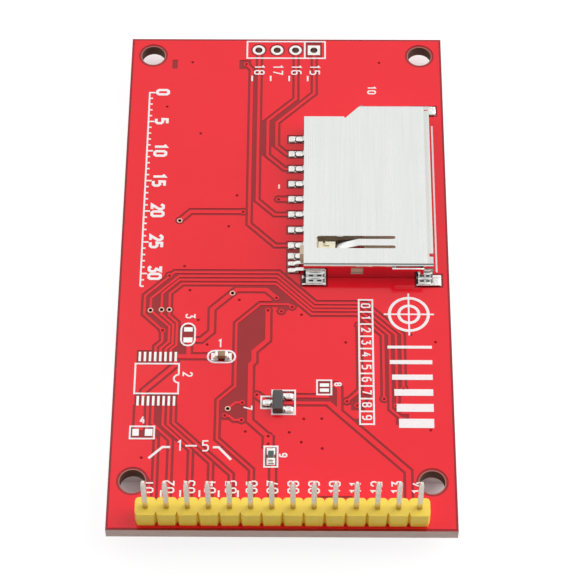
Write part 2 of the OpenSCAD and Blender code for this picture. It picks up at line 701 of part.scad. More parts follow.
// The slot in the top, open on three sides of its spring tongue
slot_y0 = 1.15;
slot_y1 = 3.1;
tongue_y0 = 1.6;
tongue_y1 = 2.62;
module tongue_slot()
    translate([0, 0, shell_z1 - 1])
        linear_extrude(2)
            difference() {
                union() {
                    area([4.45, slot_y0, 14.15, slot_y1]);
                    area([4.15, slot_y0, 4.5, slot_y1 - 0.45]);
                    translate([4.6, slot_y1 - 0.45]) circle(r = 0.45);
                    translate([14.15, slot_y0 + 0.22]) circle(r = 0.22);
                    translate([14.15, slot_y1 - 0.22]) circle(r = 0.22);
                }
                area([6.9, tongue_y0, 15, tongue_y1]);
            }

module tongue_relief()
    slab([6, slot_y0 + slack, 9.7, slot_y1 - slack], shell_z1 - 1, shell_z1 + 1);

module tongue()
    let (z = shell_z1 - sheet)
        along_y(tongue_y0, tongue_y1)
            strip([[6.8, z - 1.05], [7, z - 1.05], [9.6, z], [9.8, z]], sheet);

// The mouth's lip, flared up between two relief cuts
lip_y0 = 0.3;
lip_y1 = 23.7;
module lip()
    along_y(lip_y0, lip_y1)
        strip([[lip_x - 0.05, shell_z1 - sheet], [lip_x, shell_z1 - sheet],
               [shell_x1, shell_z1 - sheet + lip_rise]], sheet);

// A foot: out from the wall, down, and flat on its pad, with two solder windows
foot_rise = 1.35;
foot_out = 0.3;
module shell_tab(box)
    let (far = box[1] > 0, wall = far ? box[1] : box[3], length = box[3] - box[1])
        translate([0, wall, seat_z])
            mirror([0, far ? 0 : 1, 0])
                difference() {
                    along_x(box[0], box[2])
                        polygon([[0, foot_rise], [foot_out - 0.15, foot_rise],
                                 [foot_out, foot_rise - 0.15], [foot_out, sheet + 0.15],
                                 [foot_out + 0.15, sheet], [length, sheet], [length, 0], [foot_out, 0],
                                 [foot_out - sheet, sheet], [foot_out - sheet, foot_rise - sheet],
                                 [0, foot_rise - sheet]]);
                    for (k = [0.28, 0.72])
                        translate([box[0] + k * (box[2] - box[0]), foot_out + 0.4, sheet / 2])
                            cube([0.55, 0.24, 1], center = true);
                }

module socket_shell()
    color([0.88, 0.89, 0.89]) {
        difference() {
            along_x(shell_x0, shell_x1) shell_section();
            step_cut();
            tongue_slot();
            tongue_relief();
            slab([lip_x, lip_y0, shell_x1 + 1, lip_y1], shell_z1 - 1, shell_z1 + 1);
            slab([lip_x + 0.2, lip_y0 - 0.45, shell_x1 + 1, lip_y0 + slack], shell_z1 - 1, shell_z1 + 1);
            slab([lip_x + 0.1, lip_y1 - slack, lip_x + 0.6, lip_y1 + 0.2], shell_z1 - 1, shell_z1 + 1);
            slab([8.6, shell_y0 - 1, 10.2, shell_y0 + 1], seat_z + 0.8, seat_z + 2.2);
        }
        step_wall();
        tongue();
        lip();
        for (box = shell_tabs) shell_tab(box);
    }

// Side strip that stands off the near wall and turns down onto a foot
leaf_y = shell_y0 - 0.3 - sheet;
leaf_x0 = 13.9;
leaf_x1 = 18;
module side_leaf()
    color([0.82, 0.83, 0.83]) {
        slab([leaf_x0, leaf_y, leaf_x1, leaf_y + sheet], shell_z1 - 0.75, shell_z1 - 0.2);
        slab([leaf_x1 - 0.5, leaf_y, leaf_x1, leaf_y + sheet], seat_z + foot_rise, shell_z1 - 0.5);
        slab([leaf_x0, leaf_y + sheet - slack, leaf_x0 + 0.5, shell_y0], shell_z1 - 0.75, shell_z1 - 0.5);
    }

// Moulded tray: floor with windows, rear wall that holds the contacts, and a post
module socket_tray()
    color([0.86, 0.83, 0.72])
        difference() {
            union() {
                slab([tray_x0, tray_y0, tray_x1, tray_y1], seat_z, floor_z);
                slab([tray_x0, tray_y0, 4.3, tray_y1], seat_z, shell_z1 - sheet - 0.1);
                slab([4.4, 1.25, 6.6, 2.5], floor_z, shell_z1 - sheet - 0.25);
                slab([2, 0.95, tray_x0, 2.4], seat_z + tin_t, seat_z + 1.7);
                slab([4.3, tray_y0, tray_x1, tray_y0 + 0.6], floor_z, floor_z + 1.3);
            }
            for (y = contact_y) {
                slab([1.9, y - 0.5, tray_x0, y + 0.5], seat_z - 1, floor_z + contact_t);
                slab([1.9, y - contact_w / 2, 4.4, y + contact_w / 2], floor_z, floor_z + contact_t);
                slab([4.3, y - contact_w / 2, 6.7, y + contact_w / 2], floor_z, floor_z + 0.5);
                slab([5.6, y - 0.65, 10.4, y + 0.65], seat_z - 1, floor_z + slack);
            }
            for (y = [detect_y, protect_y])
                slab([1.9, y - 0.25, 4.4, y + 0.25], floor_z, floor_z + contact_t);
            slab([5, 1.7, 5.3, 2.6], shell_z1 - sheet - 0.55, shell_z1);
            slab([5, 1.7, 5.8, 1.95], shell_z1 - sheet - 0.55, shell_z1);
        }

// A contact: foot on its pad, riser, and a sprung blade over its window
foot_x0 = 1.4;
foot_x1 = 2.2;
contact_path = [
    [foot_x0, seat_z], [foot_x1, seat_z], [foot_x1 + 0.25, floor_z], [5.2, floor_z],
    [8.4, floor_z + 0.5], [9, floor_z + 0.55], [9.7, floor_z + 0.3]];
module card_contact(i)
    color([0.85, 0.84, 0.8])
        along_y(contact_y[i] - contact_w / 2, contact_y[i] + contact_w / 2)
            strip(contact_path, contact_t);

module switch_terminal(y)
    color([0.85, 0.84, 0.8])
        along_y(y - 0.25, y + 0.25)
            strip([[0.55, seat_z], [1.25, seat_z], [1.6, floor_z], [4.3, floor_z]], contact_t);

module socket_solder()
    color([0.86, 0.87, 0.88])
        difference() {
            union() {
                for (y = contact_y) mound([0.46, y - 0.49, 2.44, y + 0.49], 0.2);
                for (y = [detect_y, protect_y]) mound([0.46, y - 0.33, 1.5, y + 0.33], 0.2);
                for (box = socket_tab_pads) mound(box, 0.3);
            }
            for (y = contact_y)
                slab([foot_x0, y - contact_w / 2, 3, y + contact_w / 2], seat_z - 1, seat_z + 1);
            for (y = [detect_y, protect_y]) slab([0.55, y - 0.25, 2, y + 0.25], seat_z - 1, seat_z + 1);
            for (box = shell_tabs) slab(box, seat_z - 1, seat_z + 1);
            slab([shell_x0, shell_y0, shell_x1, shell_y1], seat_z - 1, seat_z + 1);
        }

// ------------------------------------------------------------ small parts

// Three-lead regulator: body with drafted sides and gull-wing leads
reg_l = 2.9;
reg_w = 1.3;
reg_z0 = seat_z + 0.08;
reg_h = 1;
lead_z = seat_z + 0.45;
lead_t = 0.14;
module regulator_body()
    color([0.28, 0.28, 0.28])
        translate([reg.x, reg.y, 0])
            along_y(-reg_l / 2, reg_l / 2)
                polygon([[-reg_w / 2 + 0.08, reg_z0], [reg_w / 2 - 0.08, reg_z0],
                         [reg_w / 2, lead_z], [reg_w / 2, lead_z + lead_t],
                         [reg_w / 2 - 0.1, reg_z0 + reg_h], [-reg_w / 2 + 0.1, reg_z0 + reg_h],
                         [-reg_w / 2, lead_z + lead_t], [-reg_w / 2, lead_z]]);

// A lead: [side, centre in Y]
reg_lead = [[1, 0.95], [1, -0.95], [-1, 0]];
lead_foot_x = reg_w / 2 + 0.35;
lead_path = [[reg_w / 2, lead_z], [reg_w / 2 + 0.2, lead_z],
             [lead_foot_x, seat_z], [lead_foot_x + 0.4, seat_z]];
module regulator_lead(side)
    mirror([side < 0 ? 1 : 0, 0, 0])
        along_y(-0.21, 0.21)
            strip(lead_path, lead_t);

module regulator_leads()
    color([0.82, 0.83, 0.83])
        for (lead = reg_lead)
            translate([reg.x, reg.y + lead[1], 0]) regulator_lead(lead[0]);

// A two-ended chip part lies along X: its body, and a cap over each end
module chip_body(h)
    translate([-chip_l / 2 + 0.3, -chip_w / 2 + 0.02, seat_z + 0.02])
        cube([chip_l - 0.6, chip_w - 0.04, h - 0.04]);

module chip_ends(h)
    for (side = [-1, 1])
        translate([side * (chip_l / 2 - 0.15), 0, seat_z + h / 2])
            cube([0.3, chip_w, h], center = true);

module chip_fillets(h)
    for (side = [0, 1])
        mirror([side, 0, 0])
            along_y(-chip_w / 2, chip_w / 2)
                polygon([[chip_l / 2, seat_z], [chip_l / 2 + 0.42, seat_z],
                         [chip_l / 2 + 0.12, seat_z + h * 0.4], [chip_l / 2, seat_z + h * 0.8]]);

module capacitor_body()
    color([0.62, 0.5, 0.38]) translate(cap) chip_body(cap_h);

module capacitor_ends()
    color([0.85, 0.85, 0.84]) translate(cap) chip_ends(cap_h);

module resistor_body()
    color([0.9, 0.9, 0.88]) translate(res) rotate(90) chip_body(res_h);

// The dark glass on top of the resistor, between its end caps
module resistor_coat()
    color([0.3, 0.36, 0.32])
        translate([res.x - chip_w / 2 + 0.05, res.y - chip_l / 2 + 0.32, seat_z + res_h - 0.02])
            cube([chip_w - 0.1, chip_l - 0.64, 0.05]);

module resistor_ends()
    color([0.85, 0.85, 0.84]) translate(res) rotate(90) chip_ends(res_h);

module component_solder()
    color([0.86, 0.87, 0.88]) {
        translate(cap) chip_fillets(cap_h);
        translate(res) rotate(90) chip_fillets(res_h);
        for (lead = reg_lead)
            translate([reg.x, reg.y + lead[1], 0])
                mirror([lead[0] < 0 ? 1 : 0, 0, 0])
                    difference() {
                        mound([reg_w / 2 + 0.1, -0.42, reg_w / 2 + 1.15, 0.42], 0.36);
                        along_y(-0.21, 0.21) {
                            strip(lead_path, lead_t);
                            area([lead_foot_x, seat_z - 1, lead_foot_x + 0.4, seat_z + lead_t / 2]);
                        }
                    }
    }

// ---------------------------------------------------------------- display

// White frame: a pocket in front for the glass, one behind for the light guide
module display_frame()
    color([0.93, 0.93, 0.92])
        difference() {
            slab([-frame_w / 2, frame_y0, frame_w / 2, frame_y1], 0.15, frame_z1);
            slab([-glass_x - 0.1, rear_glass_y0 - 0.1, glass_x + 0.1, glass_y1 + 0.1], -1, pocket_z);
            slab([-film_x - 0.1, -26.7, film_x + 0.1, film_y1 + 0.1], pocket_z - slack, frame_z1 + 1);
            slab([-flex_x - 0.2, frame_y0 - 1, flex_x + 0.2, rear_glass_y0], -1, 0.95);
        }

module reflector_sheet()
    color([0.95, 0.95, 0.95]) slab([-film_x, -26.6, film_x, film_y1], frame_z1 - 0.1, frame_z1);

module light_guide()
    color([0.85, 0.92, 0.95]) slab([-film_x, light_y0, film_x, film_y1], 1.6, frame_z1 - 0.1);

module diffuser_film()
    color([0.97, 0.97, 0.97]) slab([-film_x, light_y0, film_x, film_y1], 1.4, 1.6);

module rear_polariser()
    color([0.3, 0.3, 0.32]) slab([-film_x, -23.6, film_x, film_y1], pocket_z, 1.4);

module rear_glass()
    color([0.6, 0.7, 0.7]) slab([-glass_x, rear_glass_y0, glass_x, glass_y1], ledge_z, pocket_z);

module front_glass()
    color([0.12, 0.12, 0.13]) slab([-glass_x, front_glass_y0, glass_x, glass_y1], 0.2, ledge_z);

module front_polariser()
    color([0.1, 0.1, 0.11]) slab([-19.6, -23.6, 19.6, film_y1], 0, 0.2);

module driver_chip()
    color([0.35, 0.36, 0.38]) slab([-8.9, -26, 8.9, -25.1], ledge_z - 0.3, ledge_z);

// The flex is bonded to the glass ledge, folds round the frame's lower end
// and lies against the board, where its tail is soldered
module flex_section() {
    mid_z = (ledge_z - flex_t + tape_z1) / 2;
    outer_r = (tape_z1 - ledge_z + flex_t) / 2;
    translate([flex_bend_y, ledge_z - flex_t]) square([rear_glass_y0 + 1.2 - flex_bend_y, flex_t]);
    translate([flex_bend_y, tape_z1 - flex_t]) square([2, flex_t]);
    difference() {
        translate([flex_bend_y, mid_z]) circle(r = outer_r);
        translate([flex_bend_y, mid_z]) circle(r = outer_r - flex_t);
        translate([flex_bend_y, mid_z - 2]) square([4, 4]);
    }
}

module display_flex()
    color([0.75, 0.42, 0.12]) {
        along_x(-flex_x, flex_x) flex_section();
        translate([0, 0, tape_z1 - flex_t])
            linear_extrude(flex_t)
                polygon([[-flex_x, flex_bend_y + 2 - slack], [flex_x, flex_bend_y + 2 - slack],
                         [flex_x, -26], [flex_tail_x, -25], [flex_tail_x, -21.5],
                         [-flex_tail_x, -21.5], [-flex_tail_x, -25], [-flex_x, -26]]);
    }

// Foam tape: a strip down each long side and one across the upper end
module mounting_tape()
    color([0.25, 0.25, 0.26])
        for (box = [[-20.8, -28.5, -17.3, 30.3], [17.3, -28.5, 20.8, 30.3], [-17.2, 26.5, 17.2, 30.3]])
            slab(box, frame_z1, tape_z1);

module backlight_leds()
    color([0.95, 0.93, 0.75])
        for (i = [0 : led_n - 1])
            translate([(i - (led_n - 1) / 2) * led_pitch, 0, 0])
                slab([-1.9, light_y0 - 1, 1.9, light_y0], 1.6, frame_z1 - 0.1);

// ------------------------------------------------------------------- nodes

circuit_board();
rear_copper();
front_copper();
rear_legend();
front_legend();
bare_pads();
header_barrels();
card_header_barrels();
via_barrels();
header_block();
header_solder();
socket_shell();
socket_tray();
switch_terminal(detect_y);  // detect_terminal
switch_terminal(protect_y);  // protect_terminal
side_leaf();
socket_solder();
regulator_body();
regulator_leads();
capacitor_body();
capacitor_ends();
resistor_body();
resistor_coat();
resistor_ends();
component_solder();
display_frame();
reflector_sheet();
light_guide();
diffuser_film();
rear_polariser();
rear_glass();
front_glass();
front_polariser();
driver_chip();
display_flex();
mounting_tape();
backlight_leds();
for (i = [0 : pin_n - 1])
    header_pin(i);
for (i = [0 : len(contact_y) - 1])
    card_contact(i);
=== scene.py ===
# %% [markdown]
# # A colour display module, seen from its circuit board's side
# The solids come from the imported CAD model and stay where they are. This
# notebook adds what a solid lacks: the finish of every surface, and the small
# parts whose softly rounded shapes catch the light, such as solder and pins.
# Everything is in metres, in the CAD model's own frame: +Z points out of the
# board's rear, and the display lies face down on z = 0.

# %% Load the frame
import math

import bmesh
import bpy
from mathutils import Matrix, Vector


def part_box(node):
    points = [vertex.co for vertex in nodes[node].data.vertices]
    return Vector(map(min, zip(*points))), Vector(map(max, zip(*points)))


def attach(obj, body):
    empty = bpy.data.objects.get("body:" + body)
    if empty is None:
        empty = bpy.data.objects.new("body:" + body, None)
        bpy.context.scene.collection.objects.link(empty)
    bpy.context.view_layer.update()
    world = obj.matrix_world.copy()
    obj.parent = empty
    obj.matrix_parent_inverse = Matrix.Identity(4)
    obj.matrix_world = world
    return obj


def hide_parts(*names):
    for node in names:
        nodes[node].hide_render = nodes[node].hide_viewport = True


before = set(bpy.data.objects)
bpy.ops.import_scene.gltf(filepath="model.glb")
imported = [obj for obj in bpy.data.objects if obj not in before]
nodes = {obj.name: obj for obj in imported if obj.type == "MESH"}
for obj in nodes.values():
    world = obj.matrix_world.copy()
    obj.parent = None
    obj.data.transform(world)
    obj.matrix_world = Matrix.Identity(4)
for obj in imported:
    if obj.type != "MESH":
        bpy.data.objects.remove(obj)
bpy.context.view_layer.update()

MM = 0.001
bpy.ops.object.select_all(action="DESELECT")

# %% [markdown]
# ## Levels to work from
# The board's faces and the tops of its pads are read from the nodes' boxes, so
# this file follows the CAD model when a dimension there changes. `span` gives
# any node's box in millimetres, the unit that every size below is written in.

# %% Levels
def span(node):
    """A CAD node's lowest and highest corners, in millimetres."""
    return [Vector(corner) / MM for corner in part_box(node)]


board_low, board_high = span("circuit_board")
board_middle = (board_low.z + board_high.z) / 2
pad_top = span("bare_pads")[1].z
pad_rise = pad_top - board_middle
print("board top at", round(board_high.z, 3), "mm, pads at", round(pad_top, 3), "mm")

# %% [markdown]
# ## Camera
# A long lens from high on the header's side, as in a catalogue picture. Its
# direction is built from an azimuth, an elevation and a small roll, and its
# place is a distance back from the point it looks at.

# %% Camera
AZIMUTH, ELEVATION, ROLL = (math.radians(angle) for angle in (0.7024, 55.82, -0.3676))
DISTANCE = 308.15
FOCAL_LENGTH, SENSOR_WIDTH = 149.2, 36

aim = Vector((0.5007, -3.139, board_high.z)) * MM
back = Vector((math.sin(AZIMUTH) * math.cos(ELEVATION),
               -math.cos(AZIMUTH) * math.cos(ELEVATION), math.sin(ELEVATION)))
level_right = Vector((math.cos(AZIMUTH), math.sin(AZIMUTH), 0))
level_up = back.cross(level_right)
right = level_right * math.cos(ROLL) + level_up * math.sin(ROLL)
up = level_up * math.cos(ROLL) - level_right * math.sin(ROLL)
bpy.ops.object.camera_add(location=aim + back * (DISTANCE * MM))
camera = bpy.context.active_object
camera.rotation_euler = Matrix((right, up, back)).transposed().to_euler()
camera.data.lens, camera.data.sensor_width = FOCAL_LENGTH, SENSOR_WIDTH
camera.data.clip_start, camera.data.clip_end = 0.01, 20
bpy.context.scene.camera = camera
print("camera at", [round(c, 4) for c in camera.location])

# %% [markdown]
# ## Shader arithmetic
# Patterns are easiest to read as formulas. `Socket` wraps a node's output, and
# each operator on it adds one Math node. The reflected forms let a plain
# number come first, as in 1 - mask.

# %% Shader arithmetic
def feed(tree, value, slot):
    """Gives an input socket a link, or a plain value of its own."""
    if isinstance(value, Socket):
        tree.links.new(value.output, slot)
    else:
        slot.default_value = value


class Socket:
    """A node's output that can stand in Python arithmetic."""

    def __init__(self, tree, output):
        self.tree, self.output = tree, output

    def math(self, operation, *values):
        node = self.tree.nodes.new("ShaderNodeMath")
        node.operation = operation
        for value, slot in zip(values, node.inputs):
            feed(self.tree, value, slot)
        return Socket(self.tree, node.outputs[0])

    def __add__(self, other): return self.math("ADD", self, other)
    def __radd__(self, other): return self.math("ADD", other, self)
    def __sub__(self, other): return self.math("SUBTRACT", self, other)
    def __rsub__(self, other): return self.math("SUBTRACT", other, self)
    def __mul__(self, other): return self.math("MULTIPLY", self, other)
    def __rmul__(self, other): return self.math("MULTIPLY", other, self)
    def __truediv__(self, other): return self.math("DIVIDE", self, other)
    def __pow__(self, other): return self.math("POWER", self, other)
    def __gt__(self, other): return self.math("GREATER_THAN", self, other)
    def __lt__(self, other): return self.math("LESS_THAN", self, other)
    def __abs__(self): return self.math("ABSOLUTE", self)


print("sockets take part in arithmetic")

# %% [markdown]
# ## Networks and finishes
# `Network.add` makes any other node from its type, its settings and what its
# sockets get. A `Finish` is a network that ends in one Principled shader and
# reads Object coordinates, so that a pattern stays put on its piece.

# %% Networks and finishes
def colour(*srgb):
    """A colour written in 0 to 255 screen values, as a shader wants it."""
    linear = [(c / 255 / 12.92) if c <= 10 else ((c / 255 + 0.055) / 1.055) ** 2.4 for c in srgb]
    return (*linear, 1)


class Network:
    """Shader nodes that are made one by one."""

    def __init__(self, tree):
        self.tree = tree

    def add(self, kind, settings=None, sockets=None, output=0):
        """One node of any type: its settings first, then its sockets."""
        node = self.tree.nodes.new(kind)
        for key, value in (settings or {}).items():
            setattr(node, key, value)
        for key, value in (sockets or {}).items():
            feed(self.tree, value, node.inputs[key])
        return Socket(self.tree, node.outputs[output])

    def split(self, vector):
        """A vector's X, Y and Z."""
        node = self.tree.nodes.new("ShaderNodeSeparateXYZ")
        feed(self.tree, vector, node.inputs[0])
        return [Socket(self.tree, output) for output in node.outputs]

    def step(self, value, low, high, at_low=0, at_high=1):
        """One strength below low, another above high, and a smooth change between."""
        return self.add("ShaderNodeMapRange", {"interpolation_type": "SMOOTHSTEP"}, {
            "Value": value, "From Min": low, "From Max": high, "To Min": at_low, "To Max": at_high})


class Finish(Network):
    """A material that ends in one Principled shader."""

    def __init__(self, name, **constants):
        self.material = bpy.data.materials.new(name)
        self.material.use_nodes = True
        super().__init__(self.material.node_tree)
        self.shader = self.tree.nodes["Principled BSDF"]
        self.set(**constants)
        self.place = self.add("ShaderNodeTexCoord", output="Object")
        self.x, self.y, self.z = (axis * (1 / MM) for axis in self.split(self.place))

    def set(self, **values):
        """Gives the shader's sockets values or links: base_color sets Base Color."""
        for key, value in values.items():
            plain = key.replace("_", " ").title()
            name = {"ior": "IOR", "specular": "Specular IOR Level"}.get(key, plain)
            feed(self.tree, value, self.shader.inputs[name])
        return self

    def noise(self, size, detail, stretch=(1, 1, 1)):
        """Soft noise whose blotches are about size millimetres across."""
        spread = self.add("ShaderNodeMapping", sockets={"Vector": self.place, "Scale": stretch})
        return self.add("ShaderNodeTexNoise", sockets={
            "Vector": spread, "Scale": 1 / (size * MM), "Detail": detail})

    def upward(self):
        """The surface normal's share along Z, from -1 to 1."""
        return self.split(self.add("ShaderNodeNewGeometry", output="Normal"))[2]

    def mix(self, factor, first, second):
        """The first colour where factor is 0, and the second where it is 1."""
        # the colours of a Mix node are its sockets 6 and 7, and leave it at 2
        return self.add("ShaderNodeMix", {"data_type": "RGBA", "clamp_factor": True},
                        {0: factor, 6: first, 7: second}, output=2)

    def bump(self, height, depth):
        """Lets height, from 0 to 1, raise the surface by depth millimetres."""
        return self.set(normal=self.add("ShaderNodeBump", sockets={
            "Height": height, "Distance": depth * MM}))


print("finishes can be written")

# %% [markdown]
# ## Light
# A catalogue picture of a small board is lit by a white tent that is open
# towards the camera: light comes from above, behind and the sides, and little
# from the front. The world is that tent. The camera sees it as plain white.
# Metal mirrors its walls, a darker horizon, and the dark opening round the
# lens. Two soft boxes add the direction.

# %% Light
TENT_LIGHT = 0.9
SOFT_BOX = 0.8

world = bpy.data.worlds.new("white_tent")
bpy.context.scene.world = world
world.use_nodes = True
tent = Network(world.node_tree)
seen = tent.add("ShaderNodeLightPath", output="Is Camera Ray")
mirrored = tent.add("ShaderNodeLightPath", output="Is Glossy Ray")
heading = tent.add("ShaderNodeTexCoord", output="Generated")


def share_along(way):
    """The ray's share along one direction, from -1 to 1."""
    return tent.add("ShaderNodeVectorMath", {"operation": "DOT_PRODUCT"},
                    {0: heading, 1: way}, output="Value")


lit_wall = tent.step(share_along((0, 1, 0)), low=-0.55, high=0.25, at_low=0.3) * TENT_LIGHT
opening = tent.step(share_along(back), low=0.9, high=0.97, at_low=1, at_high=0.15)
mirrored_wall = tent.step(share_along((0, 0, 1)), low=0, high=0.3, at_low=0.35) * opening
strength = seen + mirrored * mirrored_wall + (1 - seen) * (1 - mirrored) * lit_wall
feed(tent.tree, (1, 1, 1, 1), tent.tree.nodes["Background"].inputs["Color"])
feed(tent.tree, strength, tent.tree.nodes["Background"].inputs["Strength"])


def soft_lamp(name, place, watts):
    """A square soft box that faces the module's centre."""
    bpy.ops.object.light_add(type="AREA", location=place)
    lamp = bpy.context.active_object
    lamp.name = name
    lamp.data.shape, lamp.data.size = "SQUARE", SOFT_BOX
    lamp.data.energy = watts
    lamp.rotation_euler = (Vector(place) - aim).to_track_quat("Z", "Y").to_euler()


soft_lamp("key_light", (0.6, 0.25, 0.42), watts=4.6)
soft_lamp("fill_light", (-0.5, 0.3, 0.55), watts=0.65)
bpy.context.scene.view_settings.view_transform = "Standard"
print("a tent and two lamps")

# %% [markdown]
# ## Floor
# The paper under the module is white in the picture too, and keeps a faint
# shadow: the camera sees mostly a plain white glow, and some of the paper
# itself. Under the board, where the mounting holes show it, the glow is nearly
# off, a painted shadow in a rectangle, and the paper has only the light that
# reaches it there.

# %% Floor
FLOOR_WIDTH = 4
GLOW, OPEN_SHARE, COVERED_SHARE = 1.14, 0.76, 0.06
COVERED_MIDDLE_Y, COVERED_HALF_LENGTH = 3, 38

bpy.ops.mesh.primitive_plane_add(size=FLOOR_WIDTH)
floor = bpy.context.active_object
floor.name = "floor"
paper = Finish("white_floor", base_color=(0.86, 0.86, 0.86, 1), roughness=0.9)
# the board's rectangle on the floor gets far less glow: a painted shadow
painted_shadow_area = ((abs(paper.x) < board_high.x)
           * (abs(paper.y - COVERED_MIDDLE_Y) < COVERED_HALF_LENGTH))
glow_share = (paper.add("ShaderNodeLightPath", output="Is Camera Ray")
              * (OPEN_SHARE - painted_shadow_area * (OPEN_SHARE - COVERED_SHARE)))
glow = paper.add("ShaderNodeEmission", sockets={"Strength": GLOW})
surface = paper.add("ShaderNodeMixShader", sockets={
    0: glow_share, 1: Socket(paper.tree, paper.shader.outputs[0]), 2: glow})
feed(paper.tree, surface, paper.tree.nodes["Material Output"].inputs["Surface"])
floor.data.materials.append(paper.material)
print("a floor of", FLOOR_WIDTH, "m")

# %% [markdown]
# ## Solder mask
# The board is pale glass-epoxy laminate. Red varnish covers both faces: bright
# over copper, which mirrors light back through it, and dark where the bare
# laminate lies beneath. The copper node carries the bright red, so the board's
# own face only shows in the gaps beside the tracks.

# %% Red over copper
def dress(finish, *names):
    """Puts a finish on CAD nodes, and says which."""
    for name in names:
        nodes[name].data.materials.clear()
        nodes[name].data.materials.append(finish.material)
    print(finish.material.name, "on", ", ".join(names))


def red_over_copper():
    red = Finish("red_mask_over_copper", ior=1.5)
    cloud = red.noise(9, 3)
    grain = red.noise(0.35, 2)
    face = red.step(abs(red.upward()), 0.3, 0.7)
    tint = red.mix(cloud, colour(234, 10, 30), colour(240, 20, 42))
    red.set(base_color=red.mix(face, colour(140, 10, 22), tint), roughness=0.1 + grain * 0.05)
    return red.bump(red.noise(0.5, 3) + cloud * 0.5, depth=0.002)


dress(red_over_copper(), "rear_copper", "front_copper")

# %% [markdown]
# ## Laminate
# One finish covers the whole board, and tells its parts by where they are: the
# dark mask on both faces, a bare ring round each mounting hole, the woven cloth
# on the sawn outer edges, and the walls of the holes, painted dark brown as
# painted shade.

# %% Laminate
HOLE_X, HOLE_Y, HOLES_MIDDLE_Y = 18.36, 33.7, 1.89
BARE_RING, RING_BLUR, HOLE_MARGIN = 1.7, 0.03, 0.15


def laminate():
    board = Finish("laminate_with_dark_mask", ior=1.5)
    face = board.step(abs(board.upward()), 0.5, 0.8)
    off_x, off_y = abs(board.x) - HOLE_X, abs(board.y - HOLES_MIDDLE_Y) - HOLE_Y
    radius = (off_x * off_x + off_y * off_y) ** 0.5
    bare_ring = board.step(radius, BARE_RING - RING_BLUR, BARE_RING + RING_BLUR, at_low=1, at_high=0)
    cloth = board.noise(0.5, 4, stretch=(0.3, 0.3, 5))
    edge = board.mix(cloth, colour(180, 156, 148), colour(222, 200, 190))
    # the walls of the holes are painted dark brown: painted shade inside the holes
    shaded_bore = board.mix(cloth, colour(82, 52, 42), colour(112, 76, 60))
    wall = board.mix(radius < BARE_RING + HOLE_MARGIN, edge, shaded_bore)
    dark = board.mix(board.noise(3, 3), colour(146, 6, 16), colour(160, 16, 28))
    mask = board.mix(bare_ring, dark, colour(176, 112, 100))
    board.set(base_color=board.mix(face, wall, mask), roughness=0.75 - face * 0.6)
    return board.bump(cloth * (1 - face), depth=0.03)


dress(laminate(), "circuit_board")

# %% [markdown]
# ## White ink
# The legend is screen-printed: a thin, slightly uneven white.

# %% White ink
def ink():
    white_ink = Finish("white_ink", roughness=0.55)
    fade = white_ink.noise(0.25, 3)
    white_ink.set(base_color=white_ink.mix(fade, colour(238, 222, 224), colour(252, 248, 248)))
    return white_ink.bump(white_ink.noise(0.12, 2), depth=0.006)


dress(ink(), "rear_legend", "front_legend")

# %% [markdown]
# ## Tin
# The pads and the plated holes are tinned, matte-bright on top. The walls of
# a hole see little light, so they are painted darker, as painted shade:
# `in_bore` finds them by their height and by where they face. A via's bore is
# painted nearly black, painted shade too. A via is so small that the mask
# tints its ring.

# %% Tin
BORE_START, BORE_END = 0.12, 0.02


def in_bore(plate):
    """1 on the walls of a plated hole, inside the board, and 0 elsewhere."""
    below_pads = pad_rise - abs(plate.z - board_middle)
    upright = plate.step(abs(plate.upward()), 0.3, 0.7, at_low=1, at_high=0)
    return plate.step(below_pads, BORE_END, BORE_START) * upright


def tin():
    plate = Finish("tin", metallic=1.0)
    patch = plate.noise(0.4, 3)
    bright = plate.mix(patch, colour(226, 224, 220), colour(250, 249, 246))
    # the walls of the holes get a darker colour: painted shade
    plate.set(base_color=plate.mix(in_bore(plate), bright, colour(176, 158, 148)),
              roughness=0.24 + patch * 0.2)
    return plate.bump(plate.noise(0.12, 2), depth=0.01)


def via_tin():
    plate = Finish("via_tin", metallic=0.3)
    patch = plate.noise(0.3, 2)
    ring = plate.mix(patch, colour(232, 158, 140), colour(250, 214, 196))
    # the via's bore is painted nearly black: painted shade
    return plate.set(base_color=plate.mix(in_bore(plate), ring, colour(52, 8, 10)),
                     roughness=0.35 + patch * 0.1)


bright_tin = tin()
dress(bright_tin, "bare_pads", "header_barrels", "card_header_barrels", "regulator_leads",
      "capacitor_ends", "resistor_ends")
dress(via_tin(), "via_barrels")

# %% [markdown]
# ## Solder
# Solder is shinier than tin and softly wrinkled. Close to the board it is
# painted dark, a painted shade which draws a thin outline round every joint.

# %% Solder
EDGE_SHADE_START, EDGE_SHADE_END = 0.04, 0.12


def solder():
    blob = Finish("solder", metallic=1.0)
    ripple = blob.noise(0.22, 2)
    metal = blob.mix(ripple, colour(206, 203, 199), colour(249, 247, 244))
    above_pads = abs(blob.z - board_middle) - pad_rise
    clear_of_painted_shade = blob.step(above_pads, EDGE_SHADE_START, EDGE_SHADE_END)
    # near the board the solder is painted dark grey-brown: painted shade along its edge
    blob.set(base_color=blob.mix(clear_of_painted_shade, colour(74, 60, 58), metal),
             roughness=0.14 + ripple * 0.14)
    return blob.bump(ripple, depth=0.04)


bright_solder = solder()
dress(bright_solder, "header_solder", "socket_solder", "component_solder")

# %% [markdown]
# ## Brushed sheet of the card socket
# Rolled sheet has a fine grain along the rolling direction. Its flared lip
# leans away from the light, so it is painted a little greyer, a painted shade,
# and the feet were tinned by the solder that they stand in.

# %% Brushed sheet
LIP_WIDTH, LIP_BLUR = 0.7, 0.08
lip_start = span("socket_shell")[1].x - LIP_WIDTH


